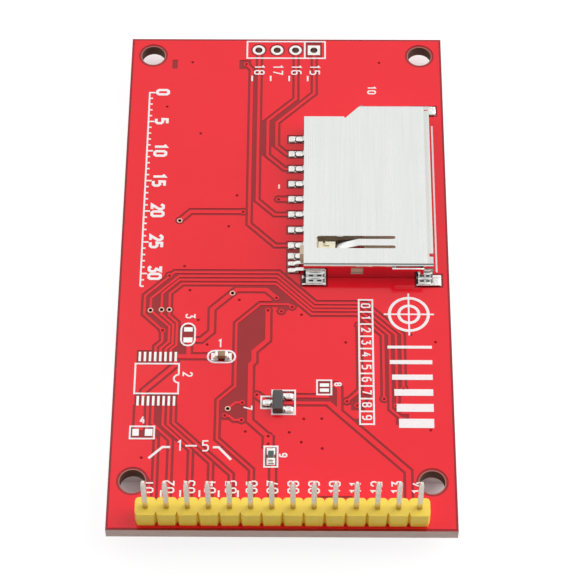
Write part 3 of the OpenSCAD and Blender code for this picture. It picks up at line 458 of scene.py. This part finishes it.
def brushed():
    sheet = Finish("brushed_sheet")
    grain = sheet.noise(0.16, 4, stretch=(1, 0.02, 0.05))
    streak = sheet.noise(1.6, 3, stretch=(1, 0.06, 0.2))
    tone = grain * 0.55 + streak * 0.3 + sheet.noise(6, 3) * 0.15
    top = sheet.step(sheet.upward(), 0.8, 0.95)
    painted_lip_shade = sheet.step(sheet.x, lip_start - LIP_BLUR, lip_start + LIP_BLUR) * top
    tinned = sheet.step(sheet.z - pad_top, 0.24, 0.4, at_low=1, at_high=0) * top
    flat = sheet.mix(tone, colour(216, 218, 216), colour(236, 237, 235))
    # the lip's top is painted greyer: painted shade
    with_lip_shade = sheet.mix(painted_lip_shade * 0.7, flat, colour(206, 206, 201))
    sheet.set(base_color=sheet.mix(tinned, with_lip_shade, colour(246, 246, 244)),
              metallic=1 - tinned * 0.6,
              roughness=0.06 + top * (0.12 + tone * 0.16) + tinned * 0.15)
    return sheet.bump(grain * top, depth=0.005)


steel = brushed()
dress(steel, "socket_shell", "side_leaf")

# %% [markdown]
# ## Plating of the contacts and pins
# Contacts and pins are drawn or stamped through a die, which leaves long faint
# lines. The pins' plating is warmer, and has a painted reflection of the yellow
# plastic round its foot.

# %% Plated contacts and pins
FOOT_START, FOOT_END = 0.3, 1.3
block_top = span("header_block")[1].z


def contact_plating():
    plate = Finish("contact_plating", metallic=1.0)
    draw = plate.noise(0.25, 3, stretch=(1, 1, 0.08))
    plate.set(base_color=plate.mix(draw, colour(214, 213, 209), colour(243, 242, 239)),
              roughness=0.2 + draw * 0.12)
    return plate.bump(draw, depth=0.01)


def pin_plating():
    wire = Finish("pin_plating", metallic=0.85)
    draw = wire.noise(0.25, 3, stretch=(1, 1, 0.3))
    above = wire.z - block_top
    # a yellow tint just above the block: a painted reflection of the plastic
    painted_reflection = wire.step(above, FOOT_START, FOOT_END, at_low=1, at_high=0) * wire.step(above, -0.1, 0)
    plate = wire.mix(draw, colour(214, 206, 194), colour(252, 247, 238))
    wire.set(base_color=wire.mix(painted_reflection * 0.75, plate, colour(190, 158, 72)),
             roughness=0.2 + draw * 0.12)
    return wire.bump(draw, depth=0.01)


pin_names = [name for name in nodes if name.startswith("header_pin_")]
contact_names = [name for name in nodes if name.startswith("card_contact_")]
pin_plate = pin_plating()
contact_plate = contact_plating()
dress(pin_plate, *pin_names)
dress(contact_plate, "detect_terminal", "protect_terminal", *contact_names)

# %% [markdown]
# ## Plastics and ceramics
# One recipe makes every moulding: a base colour with a faint cloud in it, and
# a fine spark-eroded texture that breaks up the shine. A coat makes the glazed
# and the glassy ones shinier.

# %% Mouldings
def moulded(name, dark, light, rough, texture=0.01, size=0.15, coat=0.0):
    """Texture is the depth of the spark marks and size their width, in millimetres."""
    plastic = Finish(name, coat_weight=coat, coat_roughness=0.2)
    spark = plastic.noise(size, 3)
    plastic.set(base_color=plastic.mix(plastic.noise(2.5, 3) * 0.7 + spark * 0.3, dark, light),
                roughness=rough + spark * 0.12)
    return plastic.bump(spark, texture)


yellow = moulded("yellow_plastic", colour(242, 204, 62), colour(255, 226, 90), rough=0.36)
cream = moulded("cream_plastic", colour(226, 214, 184), colour(246, 238, 214), rough=0.45)
white_plastic = moulded("white_plastic", colour(222, 222, 220), colour(240, 240, 238), rough=0.42)
epoxy = moulded("dark_epoxy", colour(60, 57, 57), colour(86, 82, 82), rough=0.5,
                texture=0.02, size=0.08)
brown = moulded("brown_ceramic", colour(134, 104, 78), colour(168, 134, 104), rough=0.4, size=0.1)
white_ceramic = moulded("white_ceramic", colour(222, 222, 214), colour(240, 240, 236), rough=0.5,
                        size=0.1)
glaze = moulded("dark_glaze", colour(46, 56, 50), colour(78, 90, 82), rough=0.16,
                texture=0.004, size=0.2, coat=0.5)
dress(yellow, "header_block")
dress(cream, "socket_tray")
dress(white_plastic, "display_frame")
dress(epoxy, "regulator_body")
dress(brown, "capacitor_body")
dress(white_ceramic, "resistor_body")
dress(glaze, "resistor_coat")

# %% [markdown]
# ## Inside the display
# The same recipe serves the pieces that only show at the display's edge, or
# when it is taken apart: white films, black foam tape, the lamps' cream
# packages, and the bare silicon of the driver chip.

# %% Films, tape, lamps and chip
dress(moulded("white_film", colour(230, 230, 230), colour(244, 244, 244), rough=0.5,
              texture=0.004, size=0.1), "reflector_sheet", "diffuser_film")
dress(moulded("foam_tape", colour(26, 26, 27), colour(52, 52, 54), rough=0.8,
              texture=0.05, size=0.12), "mounting_tape")
dress(moulded("lamp_package", colour(226, 214, 150), colour(244, 236, 190), rough=0.4),
      "backlight_leds")
dress(moulded("silicon", colour(70, 72, 78), colour(92, 94, 102), rough=0.15,
              texture=0.002, size=0.2, coat=0.4), "driver_chip")

# %% [markdown]
# ## Glass and flexible circuit
# Seen from the front the unlit panel is nearly black: a polariser film over
# glass. Its edges show the clear glass ledge and the amber flexible circuit
# with its copper lines.

# %% Glass, polarisers and flexible circuit
LINE_PITCH, LINE_EDGE = 0.35, 0.17


def dark_film():
    film = Finish("dark_polariser", ior=1.5, coat_weight=0.6, coat_roughness=0.05)
    grain = film.noise(0.3, 2)
    return film.set(base_color=film.mix(grain, colour(15, 16, 20), colour(24, 25, 30)),
                    roughness=0.16 + grain * 0.06)


def pane(name, tint, alpha):
    glass = Finish(name, ior=1.5, alpha=alpha)
    cloud = glass.noise(4, 2)
    return glass.set(base_color=glass.mix(cloud, tint, colour(150, 168, 166)),
                     roughness=0.05 + cloud * 0.05)


def amber_flex():
    flex = Finish("amber_flex", coat_weight=0.4, coat_roughness=0.15)
    lines = flex.x.math("PINGPONG", flex.x, LINE_PITCH) > LINE_EDGE
    cloud = flex.noise(1.2, 2)
    amber = flex.mix(cloud, colour(176, 104, 30), colour(198, 124, 44))
    flex.set(base_color=flex.mix(lines, amber, colour(150, 78, 26)), roughness=0.3 + cloud * 0.1)
    return flex.bump(lines, depth=0.01)


dress(dark_film(), "front_polariser", "rear_polariser")
dress(pane("dark_pane", colour(30, 34, 36), alpha=1.0), "front_glass")
dress(pane("clear_pane", colour(176, 196, 192), alpha=0.55), "rear_glass")
dress(pane("clear_acrylic", colour(214, 232, 236), alpha=0.6), "light_guide")
dress(amber_flex(), "display_flex")

# %% [markdown]
# ## Starting a piece
# Each new piece starts as one of Blender's own primitives, made at its size
# and place, or as a copy of a CAD node's mesh. `pick` selects points, edges or
# faces by where they are and which way they run, as one would click them, and
# the usual edit-mode operators do the shaping.

# %% Primitives and selections
NEAR = 0.01  # two places this close, in millimetres, count as one


def alone(piece):
    """Makes one object the only selected one, and the active one."""
    bpy.ops.object.select_all(action="DESELECT")
    piece.select_set(True)
    bpy.context.view_layer.objects.active = piece


def settled(name):
    """Names the new primitive, and moves its place and size into its mesh."""
    piece = bpy.context.active_object
    piece.name = name
    bpy.ops.object.transform_apply(location=True, rotation=True, scale=True)
    return piece


def block(name, low, high):
    """A cube primitive between two corners in millimetres."""
    low, high = Vector(low) * MM, Vector(high) * MM
    bpy.ops.object.select_all(action="DESELECT")
    bpy.ops.mesh.primitive_cube_add(size=1, location=(low + high) / 2, scale=high - low)
    return settled(name)


def disc(name, centre, radius, sides):
    """A filled circle primitive, facing up, in millimetres."""
    bpy.ops.object.select_all(action="DESELECT")
    bpy.ops.mesh.primitive_circle_add(vertices=sides, radius=radius * MM, fill_type="NGON",
                                      location=Vector(centre) * MM)
    return settled(name)


def pick(piece, kind, wanted):
    """In edit mode, selects what wanted(middle, way) holds for: VERT, EDGE or FACE."""
    alone(piece)
    bpy.ops.object.mode_set(mode="EDIT")
    bpy.ops.mesh.select_mode(type=kind)
    bpy.ops.mesh.select_all(action="DESELECT")
    mesh = bmesh.from_edit_mesh(piece.data)
    for item in {"VERT": mesh.verts, "EDGE": mesh.edges, "FACE": mesh.faces}[kind]:
        if kind == "VERT":
            middle, way = item.co, item.normal
        elif kind == "FACE":
            middle, way = item.calc_center_median(), item.normal
        else:
            start, end = (corner.co for corner in item.verts)
            middle, way = (start + end) / 2, (end - start).normalized()
        item.select_set(bool(wanted(middle / MM, way)))
    mesh.select_flush_mode()
    bmesh.update_edit_mesh(piece.data)


def everything(middle, way):
    """What pick is told when all of a piece is wanted."""
    return True


def done():
    """Back to object mode."""
    bpy.ops.object.mode_set(mode="OBJECT")


def grow(lift, factor, centre):
    """Extrudes the picked faces by lift and scales them about centre, in millimetres."""
    bpy.ops.mesh.extrude_region_move(TRANSFORM_OT_translate={"value": Vector(lift) * MM})
    bpy.ops.transform.resize(value=factor, center_override=Vector(centre) * MM)


def cut_corners(width, segments=1):
    """Bevels the picked edges by width millimetres, and leaves edit mode."""
    bpy.ops.mesh.bevel(offset=width * MM, segments=segments, affect="EDGES")
    done()


print("primitives and selections ready")

# %% [markdown]
# ## Rounding, copying and finishing
# Modifiers round a piece and are applied at once. What repeats is modelled
# once and copied, each copy with a mesh of its own. `finish_piece` turns the
# faces outwards, shades them smoothly between crisp edges, gives the piece its
# finish, and hides the CAD nodes that the piece stands for.

# %% Rounding, copying and finishing
MERGE_DISTANCE, FLAT_ANGLE = 0.001, 1


def apply_modifier(piece, name, kind, **settings):
    """Adds a modifier with its settings, and applies it."""
    alone(piece)
    modifier = piece.modifiers.new(name, kind)
    for key, value in settings.items():
        setattr(modifier, key, value)
    bpy.ops.object.modifier_apply(modifier=name)
    return piece


def rounded(piece, width, segments=2, angle=30):
    """A bevel on every edge sharper than angle."""
    return apply_modifier(piece, "rounding", "BEVEL", width=width * MM, segments=segments,
                          limit_method="ANGLE", angle_limit=math.radians(angle))


def merged_copy(name, node):
    """A copy of a CAD node's mesh, its loose triangles merged into flat faces."""
    piece = bpy.data.objects.new(name, nodes[node].data.copy())
    bpy.context.collection.objects.link(piece)
    pick(piece, "FACE", everything)
    bpy.ops.mesh.remove_doubles(threshold=MERGE_DISTANCE * MM)
    bpy.ops.mesh.dissolve_limited(angle_limit=math.radians(FLAT_ANGLE))
    done()
    return piece


def eased(name, node, width):
    """A copy of a CAD node with its sharp edges rounded."""
    return rounded(merged_copy(name, node), width, angle=40)


def twin(piece, name, shift):
    """A copy with its own mesh, moved by shift millimetres."""
    other = piece.copy()
    other.data = piece.data.copy()
    other.name = name
    other.data.transform(Matrix.Translation(Vector(shift) * MM))
    bpy.context.collection.objects.link(other)
    return other


def joined(name, pieces):
    """Several pieces as one object."""
    alone(pieces[0])
    for piece in pieces:
        piece.select_set(True)
    bpy.ops.object.join()
    pieces[0].name = name
    return pieces[0]


def finish_piece(piece, finish, material_slot, *stands_for, angle=35):
    """Normals outward, smooth shading with crisp edges, a finish and a body to ride on."""
    pick(piece, "FACE", everything)
    bpy.ops.mesh.normals_make_consistent(inside=False)
    done()
    alone(piece)
    bpy.ops.object.shade_smooth_by_angle(angle=math.radians(angle))
    # large faces keep their own normals, so that only the rounded edges shade softly
    apply_modifier(piece, "face_weight", "WEIGHTED_NORMAL", keep_sharp=True)
    piece.data.materials.clear()
    piece.data.materials.append(finish.material)
    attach(piece, "root")
    if stands_for:
        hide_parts(*stands_for)


print("finishing helpers ready")

# %% [markdown]
# ## Header block
# One cell is a cube with wide cuts at its two far corners and narrow notches
# at the near ones. Its side faces go, an Array modifier repeats it and welds
# the neighbours, and the two open ends are filled. The bevel on the top edges
# is what catches the light.

# %% Header block
PITCH = 2.54
FAR_CUT, NEAR_CUT, NOTCH_DEPTH = 0.5, 0.2, 0.3
NOTCH_FOOT, TOP_BEVEL = 0.92, 0.07

block_low, block_high = span("header_block")
cells = round((block_high.x - block_low.x) / PITCH)


def header_cell():
    left, right = block_low.x, block_low.x + PITCH
    cell = block("moulded_header", block_low, (right, block_high.y, block_high.z))
    pick(cell, "EDGE", lambda middle, way: abs(way.z) > 0.9 and middle.y > block_high.y - NEAR)
    cut_corners(FAR_CUT, segments=3)
    pick(cell, "EDGE", lambda middle, way: abs(way.z) > 0.9 and middle.y < block_low.y + NEAR)
    cut_corners(NEAR_CUT)
    # the notch's inner corners go deeper, and its foot opens a little
    pick(cell, "VERT", lambda middle, way: NEAR_CUT / 2 < middle.y - block_low.y < NOTCH_DEPTH)
    bpy.ops.transform.translate(value=(0, NOTCH_DEPTH * MM, 0))
    done()
    pick(cell, "VERT", lambda middle, way: (middle.y < block_low.y + NEAR
                                            and middle.z < block_low.z + NEAR))
    bpy.ops.transform.resize(value=(NOTCH_FOOT, 1, 1),
                             center_override=Vector((left + PITCH / 2, 0, 0)) * MM)
    done()
    pick(cell, "FACE", lambda middle, way: abs(way.x) > 0.99)
    bpy.ops.mesh.delete(type="FACE")
    done()
    pick(cell, "EDGE", lambda middle, way: (middle.z > block_high.z - NEAR
                                            and left + NEAR < middle.x < right - NEAR))
    bpy.ops.mesh.bevel(offset=TOP_BEVEL * MM, segments=2, affect="EDGES", clamp_overlap=True)
    done()
    return cell


def row_of(cell):
    """The cell repeated and welded, with its two open ends filled."""
    apply_modifier(cell, "row", "ARRAY", count=cells, use_relative_offset=False,
                   use_constant_offset=True, constant_offset_displace=(PITCH * MM, 0, 0),
                   use_merge_vertices=True, merge_threshold=NEAR * MM)
    for end in (block_low.x, block_high.x):
        pick(cell, "EDGE", lambda middle, way: abs(middle.x - end) < NEAR / 2 and abs(way.x) < 0.1)
        bpy.ops.mesh.edge_face_add()
        done()
    return cell


finish_piece(row_of(header_cell()), yellow, "header_plastic", "header_block")
print("header block of", cells, "cells")

# %% [markdown]
# ## Header pins
# A pin is drawn square wire. Its ends are pressed to a blunt point: the end
# faces are extruded and shrunk twice. A small bevel rounds the long edges.

# %% Header pins
POINT, WIRE_BEVEL = 0.5, 0.11
# the share of the point's length in each step, and what it leaves of the width
POINT_STEPS = ((0.8, 0.66), (0.2, 0.7))


def drawn_pin(node):
    low, high = span(node)
    centre = (low + high) / 2
    pin = block("drawn_pin_1", (low.x, low.y, low.z + POINT), (high.x, high.y, high.z - POINT))
    for end in (1, -1):
        pick(pin, "FACE", lambda middle, way: way.z * end > 0.9)
        for length, width in POINT_STEPS:
            grow((0, 0, end * POINT * length), (width, width, 1), centre)
        done()
    pick(pin, "EDGE", lambda middle, way: abs(way.z) > 0.8)
    cut_corners(WIRE_BEVEL, segments=2)
    return pin


def repeated(first, stem):
    """A piece and its copies along the header, named stem_1 and on."""
    return [first] + [twin(first, f"{stem}_{k + 1}", (k * PITCH, 0, 0)) for k in range(1, cells)]


pins = repeated(drawn_pin("header_pin_1"), "drawn_pin")
for k, pin in enumerate(pins, 1):
    finish_piece(pin, pin_plate, "pin_metal", f"header_pin_{k}")
print(len(pins), "pins")

# %% [markdown]
# ## Solder on the header's tails
# Molten solder climbs the pin and spreads on its ring, so its outline is a
# hollow curve. The cone starts as a disc on the ring, and is extruded away
# from the board in steps that follow that curve.

# %% Solder on the header's tails
CONE_FOOT, CONE_TIP, CONE_HEIGHT = 0.8, 0.42, 0.85
CONE_STEPS, CONE_CURVE, CONE_SIDES = 6, 2.2, 24


def solder_cone(name):
    pin_low, pin_high = span("header_pin_1")
    low, high = span("header_solder")
    centre_x, centre_y = (pin_low.x + pin_high.x) / 2, (low.y + high.y) / 2
    cone = disc(name, (centre_x, centre_y, board_low.z), CONE_FOOT, CONE_SIDES)
    pick(cone, "FACE", everything)
    for k in range(CONE_STEPS):
        here, there = (CONE_TIP + (CONE_FOOT - CONE_TIP) * (1 - j / CONE_STEPS) ** CONE_CURVE
                       for j in (k, k + 1))
        shrink = there / here
        grow((0, 0, -CONE_HEIGHT / CONE_STEPS), (shrink, shrink, 1), (centre_x, centre_y, 0))
    done()
    return cone


cones = repeated(solder_cone("pin_solder_1"), "pin_solder")
finish_piece(joined("header_solder_cones", cones), bright_solder, "solder", "header_solder", angle=50)
print(len(cones), "cones of solder")

# %% [markdown]
# ## Dimples over the filled vias
# Varnish sags into a via that it covers, and the dark bore shows through as a
# small dot. The six-sided openings in the copper say where the vias are. One
# dimple is a disc with its middle pushed down; the others are its copies.

# %% Dimples over the filled vias
VIA_RADIUS, DIMPLE_RADIUS, DIMPLE_DEPTH, DIMPLE_SIDES = 0.198, 0.19, 0.03, 16
# the share of the depth in each step, and what it leaves of the width
DIMPLE_STEPS = ((0.6, 0.7), (0.4, 0.4))
BELOW_COPPER = 0.005
LEVEL_SLACK, LENGTH_SLACK = 0.001, 0.003


def via_centres():
    """A via's rightmost corner has two neighbours, a hexagon's side away to its left."""
    sheet = merged_copy("copper_probe", "rear_copper")
    corners = [vertex.co / MM for vertex in sheet.data.vertices]
    top = max(corner.z for corner in corners)
    near = {}
    for edge in sheet.data.edges:
        a, b = edge.vertices
        on_top = min(corners[a].z, corners[b].z) > top - LEVEL_SLACK
        if on_top and abs((corners[a] - corners[b]).length - VIA_RADIUS) < LENGTH_SLACK:
            near.setdefault(a, []).append(b)
            near.setdefault(b, []).append(a)
    centres = []
    for corner, others in near.items():
        if len(others) == 2:
            step = (corners[others[0]] + corners[others[1]]) / 2 - corners[corner]
            if abs(step.x + VIA_RADIUS / 2) < LENGTH_SLACK and abs(step.y) < LENGTH_SLACK:
                centres.append(corners[corner] - Vector((VIA_RADIUS, 0, 0)))
    bpy.data.objects.remove(sheet)
    return centres


def via_dimple(centre):
    dimple = disc("via_dimple", centre, DIMPLE_RADIUS, DIMPLE_SIDES)
    pick(dimple, "FACE", everything)
    for depth, width in DIMPLE_STEPS:
        grow((0, 0, -DIMPLE_DEPTH * depth), (width, width, 1), centre)
    done()
    return dimple


def sagging_mask(rim):
    """Red at the rim's level, and darker the deeper it sags."""
    mask = Finish("sagging_mask", roughness=0.5, specular=0.1)
    depth = (rim - mask.z) / DIMPLE_DEPTH
    tint = mask.mix(mask.step(depth, 0.0, 0.8), colour(130, 8, 14), colour(46, 2, 4))
    return mask.set(base_color=tint)


places = [centre - Vector((0, 0, BELOW_COPPER)) for centre in via_centres()]
first_dimple = via_dimple(places[0])
dimples = [first_dimple] + [twin(first_dimple, f"via_dimple_{k}", place - places[0])
                            for k, place in enumerate(places[1:], 2)]
finish_piece(joined("via_dimples", dimples), sagging_mask(places[0].z), "red_solder_mask")
print(len(places), "via dimples")

# %% [markdown]
# ## Regulator
# The body's sides lean in above and below its parting line, where the leads
# come out. Each lead is one ribbon: a small block whose end face is extruded
# out, down and out again.

# %% Regulator
STANDOFF, LEAD_RISE, LEAD_THICK, LEAD_HALF = 0.08, 0.45, 0.14, 0.21
LEAD_REACH, LEAD_LEAN, LEAD_FOOT = 0.2, 0.15, 0.4
TOP_SHARE, FOOT_SHARE = (0.84, 0.95, 1), (0.9, 0.96, 1)

body_low, body_high = span("regulator_body")
seat = body_low.z - STANDOFF
regulator_centre = (body_low + body_high) / 2
lead_low, lead_top = seat + LEAD_RISE, seat + LEAD_RISE + LEAD_THICK
lead_sides = {"right_far": (1, 0.95), "right_near": (1, -0.95), "left": (-1, 0)}


def body_side(side):
    """The x of the body's right side, or of its left one where side is -1."""
    return body_high.x if side > 0 else body_low.x


def regulator_body():
    body = block("moulded_regulator", (body_low.x, body_low.y, lead_low),
                 (body_high.x, body_high.y, lead_top))
    pick(body, "FACE", lambda middle, way: way.z > 0.9)
    grow((0, 0, body_high.z - lead_top), TOP_SHARE, regulator_centre)
    done()
    pick(body, "FACE", lambda middle, way: way.z < -0.9)
    grow((0, 0, body_low.z - lead_low), FOOT_SHARE, regulator_centre)
    done()
    return rounded(body, width=0.06, segments=3)


def regulator_lead(name, side, y):
    inner, outer = sorted((body_side(side), body_side(side) + side * LEAD_REACH))
    lead = block(name, (inner, y - LEAD_HALF, lead_low), (outer, y + LEAD_HALF, lead_top))
    pick(lead, "FACE", lambda middle, way: way.x * side > 0.9)
    for lift in ((side * LEAD_LEAN, 0, -LEAD_RISE), (side * LEAD_FOOT, 0, 0)):
        bpy.ops.mesh.extrude_region_move(TRANSFORM_OT_translate={"value": Vector(lift) * MM})
    done()
    return rounded(lead, width=0.03)


leads = [regulator_lead(f"lead_{name}", side, regulator_centre.y + shift)
         for name, (side, shift) in lead_sides.items()]
finish_piece(regulator_body(), epoxy, "regulator_epoxy", "regulator_body")
finish_piece(joined("formed_leads", leads), bright_tin, "lead_tin", "regulator_leads")
print("regulator with", len(leads), "leads")

# %% [markdown]
# ## Solder on the small parts
# Solder lies as a puddle over each foot of the regulator, and against each end
# of the capacitor and the resistor. A puddle is a cube cut once each way and
# subdivided, so it comes out as a rounded cushion. The half of it that is
# under the board's face is out of sight.

# %% Solder on the small parts
PUDDLE_START, PUDDLE_END, PUDDLE_HALF, PUDDLE_HEIGHT = 0.12, 1.3, 0.46, 0.42
CAP_REACH, CAP_SHARE = 0.32, 0.42
CHIP_AXES = {"capacitor": 0, "resistor": 1}


def puddle(name, low, high, height):
    """A cushion between two corners in x and y, that rises height above the seat."""
    cushion = block(name, (low[0], low[1], seat - height), (high[0], high[1], seat + height))
    pick(cushion, "FACE", everything)
    bpy.ops.mesh.subdivide(number_cuts=1)
    done()
    return apply_modifier(cushion, "softening", "SUBSURF", levels=3, render_levels=3)


puddles = []
for name, (side, shift) in lead_sides.items():
    inner, outer = sorted(body_side(side) + side * reach for reach in (PUDDLE_START, PUDDLE_END))
    y = regulator_centre.y + shift
    puddles.append(puddle(f"puddle_{name}", (inner, y - PUDDLE_HALF), (outer, y + PUDDLE_HALF),
                          PUDDLE_HEIGHT))
for kind, axis in CHIP_AXES.items():
    low, high = span(f"{kind}_ends")
    for end, edge in enumerate((low[axis], high[axis])):
        near, far = low.copy(), high.copy()
        near[axis], far[axis] = edge - CAP_REACH, edge + CAP_REACH
        puddles.append(puddle(f"{kind}_puddle_{end}", near, far, (high.z - low.z) * CAP_SHARE))
finish_piece(joined("component_puddles", puddles), bright_solder, "solder", "component_solder",
             angle=60)
print(len(puddles), "puddles on the small parts")

# %% [markdown]
# ## Capacitor and resistor
# Both are ceramic bricks with plated ends. The ends wrap a little proud of
# the brick, and their edges are round from the plating.

# %% Capacitor and resistor
CAP_LENGTH, CAP_EDGE, BRICK_EDGE = 0.34, 0.08, 0.03


def chip_part(kind, axis):
    """A brick, and the two caps on its ends, from the CAD nodes' boxes."""
    low, high = span(f"{kind}_ends")
    caps = []
    for end in (0, 1):
        near, far = low.copy(), high.copy()
        if end:
            near[axis] = high[axis] - CAP_LENGTH
        else:
            far[axis] = low[axis] + CAP_LENGTH
        caps.append(rounded(block(f"{kind}_cap_{end}", near, far), CAP_EDGE, segments=3))
    brick = block(f"{kind}_brick", *span(f"{kind}_body"))
    return rounded(brick, BRICK_EDGE, segments=3), joined(f"{kind}_caps", caps)


for kind, ceramic in (("capacitor", brown), ("resistor", white_ceramic)):
    brick, caps = chip_part(kind, CHIP_AXES[kind])
    finish_piece(brick, ceramic, f"{kind}_ceramic", f"{kind}_body")
    finish_piece(caps, bright_tin, "lead_tin", f"{kind}_ends")
    print(kind, "with two caps")

# %% [markdown]
# ## Card socket
# The shell, the side strip and the tray keep their CAD shapes, which are
# copied, and the sharp edges that a press or a mould never leaves are rounded.
# A contact's foot also gets the round end that it is cut with.

# %% Card socket
CONTACT_END = 0.3

finish_piece(eased("pressed_shell", "socket_shell", width=0.04), steel, "shell_steel", "socket_shell")
finish_piece(eased("pressed_leaf", "side_leaf", width=0.03), steel, "shell_steel", "side_leaf")
finish_piece(eased("moulded_tray", "socket_tray", width=0.05), cream, "tray_plastic", "socket_tray")


def stamped_contact(number):
    low = span(f"card_contact_{number}")[0]
    strip = merged_copy(f"stamped_contact_{number}", f"card_contact_{number}")
    pick(strip, "EDGE", lambda middle, way: abs(way.z) > 0.9 and middle.x < low.x + NEAR)
    cut_corners(CONTACT_END, segments=4)
    return rounded(strip, width=0.03)


for number in range(1, len(contact_names) + 1):
    finish_piece(stamped_contact(number), contact_plate, "contact_metal", f"card_contact_{number}")
for kind in ("detect", "protect"):
    terminal = eased(f"stamped_{kind}", f"{kind}_terminal", width=0.03)
    finish_piece(terminal, contact_plate, "contact_metal", f"{kind}_terminal")
print("card socket with", len(contact_names), "contacts")

# %% [markdown]
# ## Solder of the card socket
# Solder covers the pad in front of every contact, and a thin film of it runs
# back under the foot. A foot of the shell stands on such a film, with a heap at
# the pad's open end and a bank of solder along its outer edge.

# %% Solder of the card socket
FILM, FOOT_PUDDLE, HEAP, BANK = 0.05, 0.16, 0.24, 0.3
# x from, y from, x to, y to and the start of the heap, in millimetres from the
# shell's low corner, and the side of the pad that faces out along y
FOOT_PADS = {"near_left": (-0.25, -0.15, 2.9, 1.15, 2.35, -1),
             "near_right": (14.55, -0.2, 17.8, 1.2, 16.25, -1),
             "far_right": (14.75, 27.8, 17.85, 29.25, 16.25, 1),
             "far_left": (0.15, 25.75, 2.95, 27, 2.35, 1)}


def strip_puddle(name, node, x_from, x_to, margin, height):
    """A puddle counted from a strip's low x, and wider than the strip by a margin."""
    low, high = span(node)
    return puddle(name, (low.x + x_from, low.y - margin), (low.x + x_to, high.y + margin), height)


puddles = []
for number in range(1, len(contact_names) + 1):
    node = f"card_contact_{number}"
    puddles.append(strip_puddle(f"contact_puddle_{number}", node, x_from=-0.98, x_to=-0.06,
                                margin=0.1, height=FOOT_PUDDLE))
    puddles.append(strip_puddle(f"contact_film_{number}", node, x_from=-0.1, x_to=1.05,
                                margin=0.11, height=FILM))
for kind in ("detect", "protect"):
    puddles.append(strip_puddle(f"{kind}_puddle", f"{kind}_terminal", x_from=-0.12, x_to=1,
                                margin=0.1, height=FOOT_PUDDLE))
corner = span("socket_shell")[0]
for name, (x_from, y_from, x_to, y_to, heap_start, outward) in FOOT_PADS.items():
    bank = (y_from, y_from + BANK) if outward < 0 else (y_to - BANK, y_to)
    for part, near, far, height in (("film", (x_from, y_from), (x_to, y_to), FILM),
                                    ("edge", (x_from, bank[0]), (x_to, bank[1]), HEAP),
                                    ("heap", (heap_start, y_from), (x_to, y_to), HEAP)):
        puddles.append(puddle(f"shell_{part}_{name}", corner.xy + Vector(near),
                              corner.xy + Vector(far), height))
finish_piece(joined("socket_puddles", puddles), bright_solder, "solder", "socket_solder", angle=60)
print("socket solder:", len(puddles), "puddles")

# %% [markdown]
# ## Display frame
# The white frame is moulded too, so its long edges are rounded.

# %% Display frame
frame_piece = eased("moulded_frame", "display_frame", width=0.1)
finish_piece(frame_piece, white_plastic, "frame_plastic", "display_frame")
print("display frame dressed")
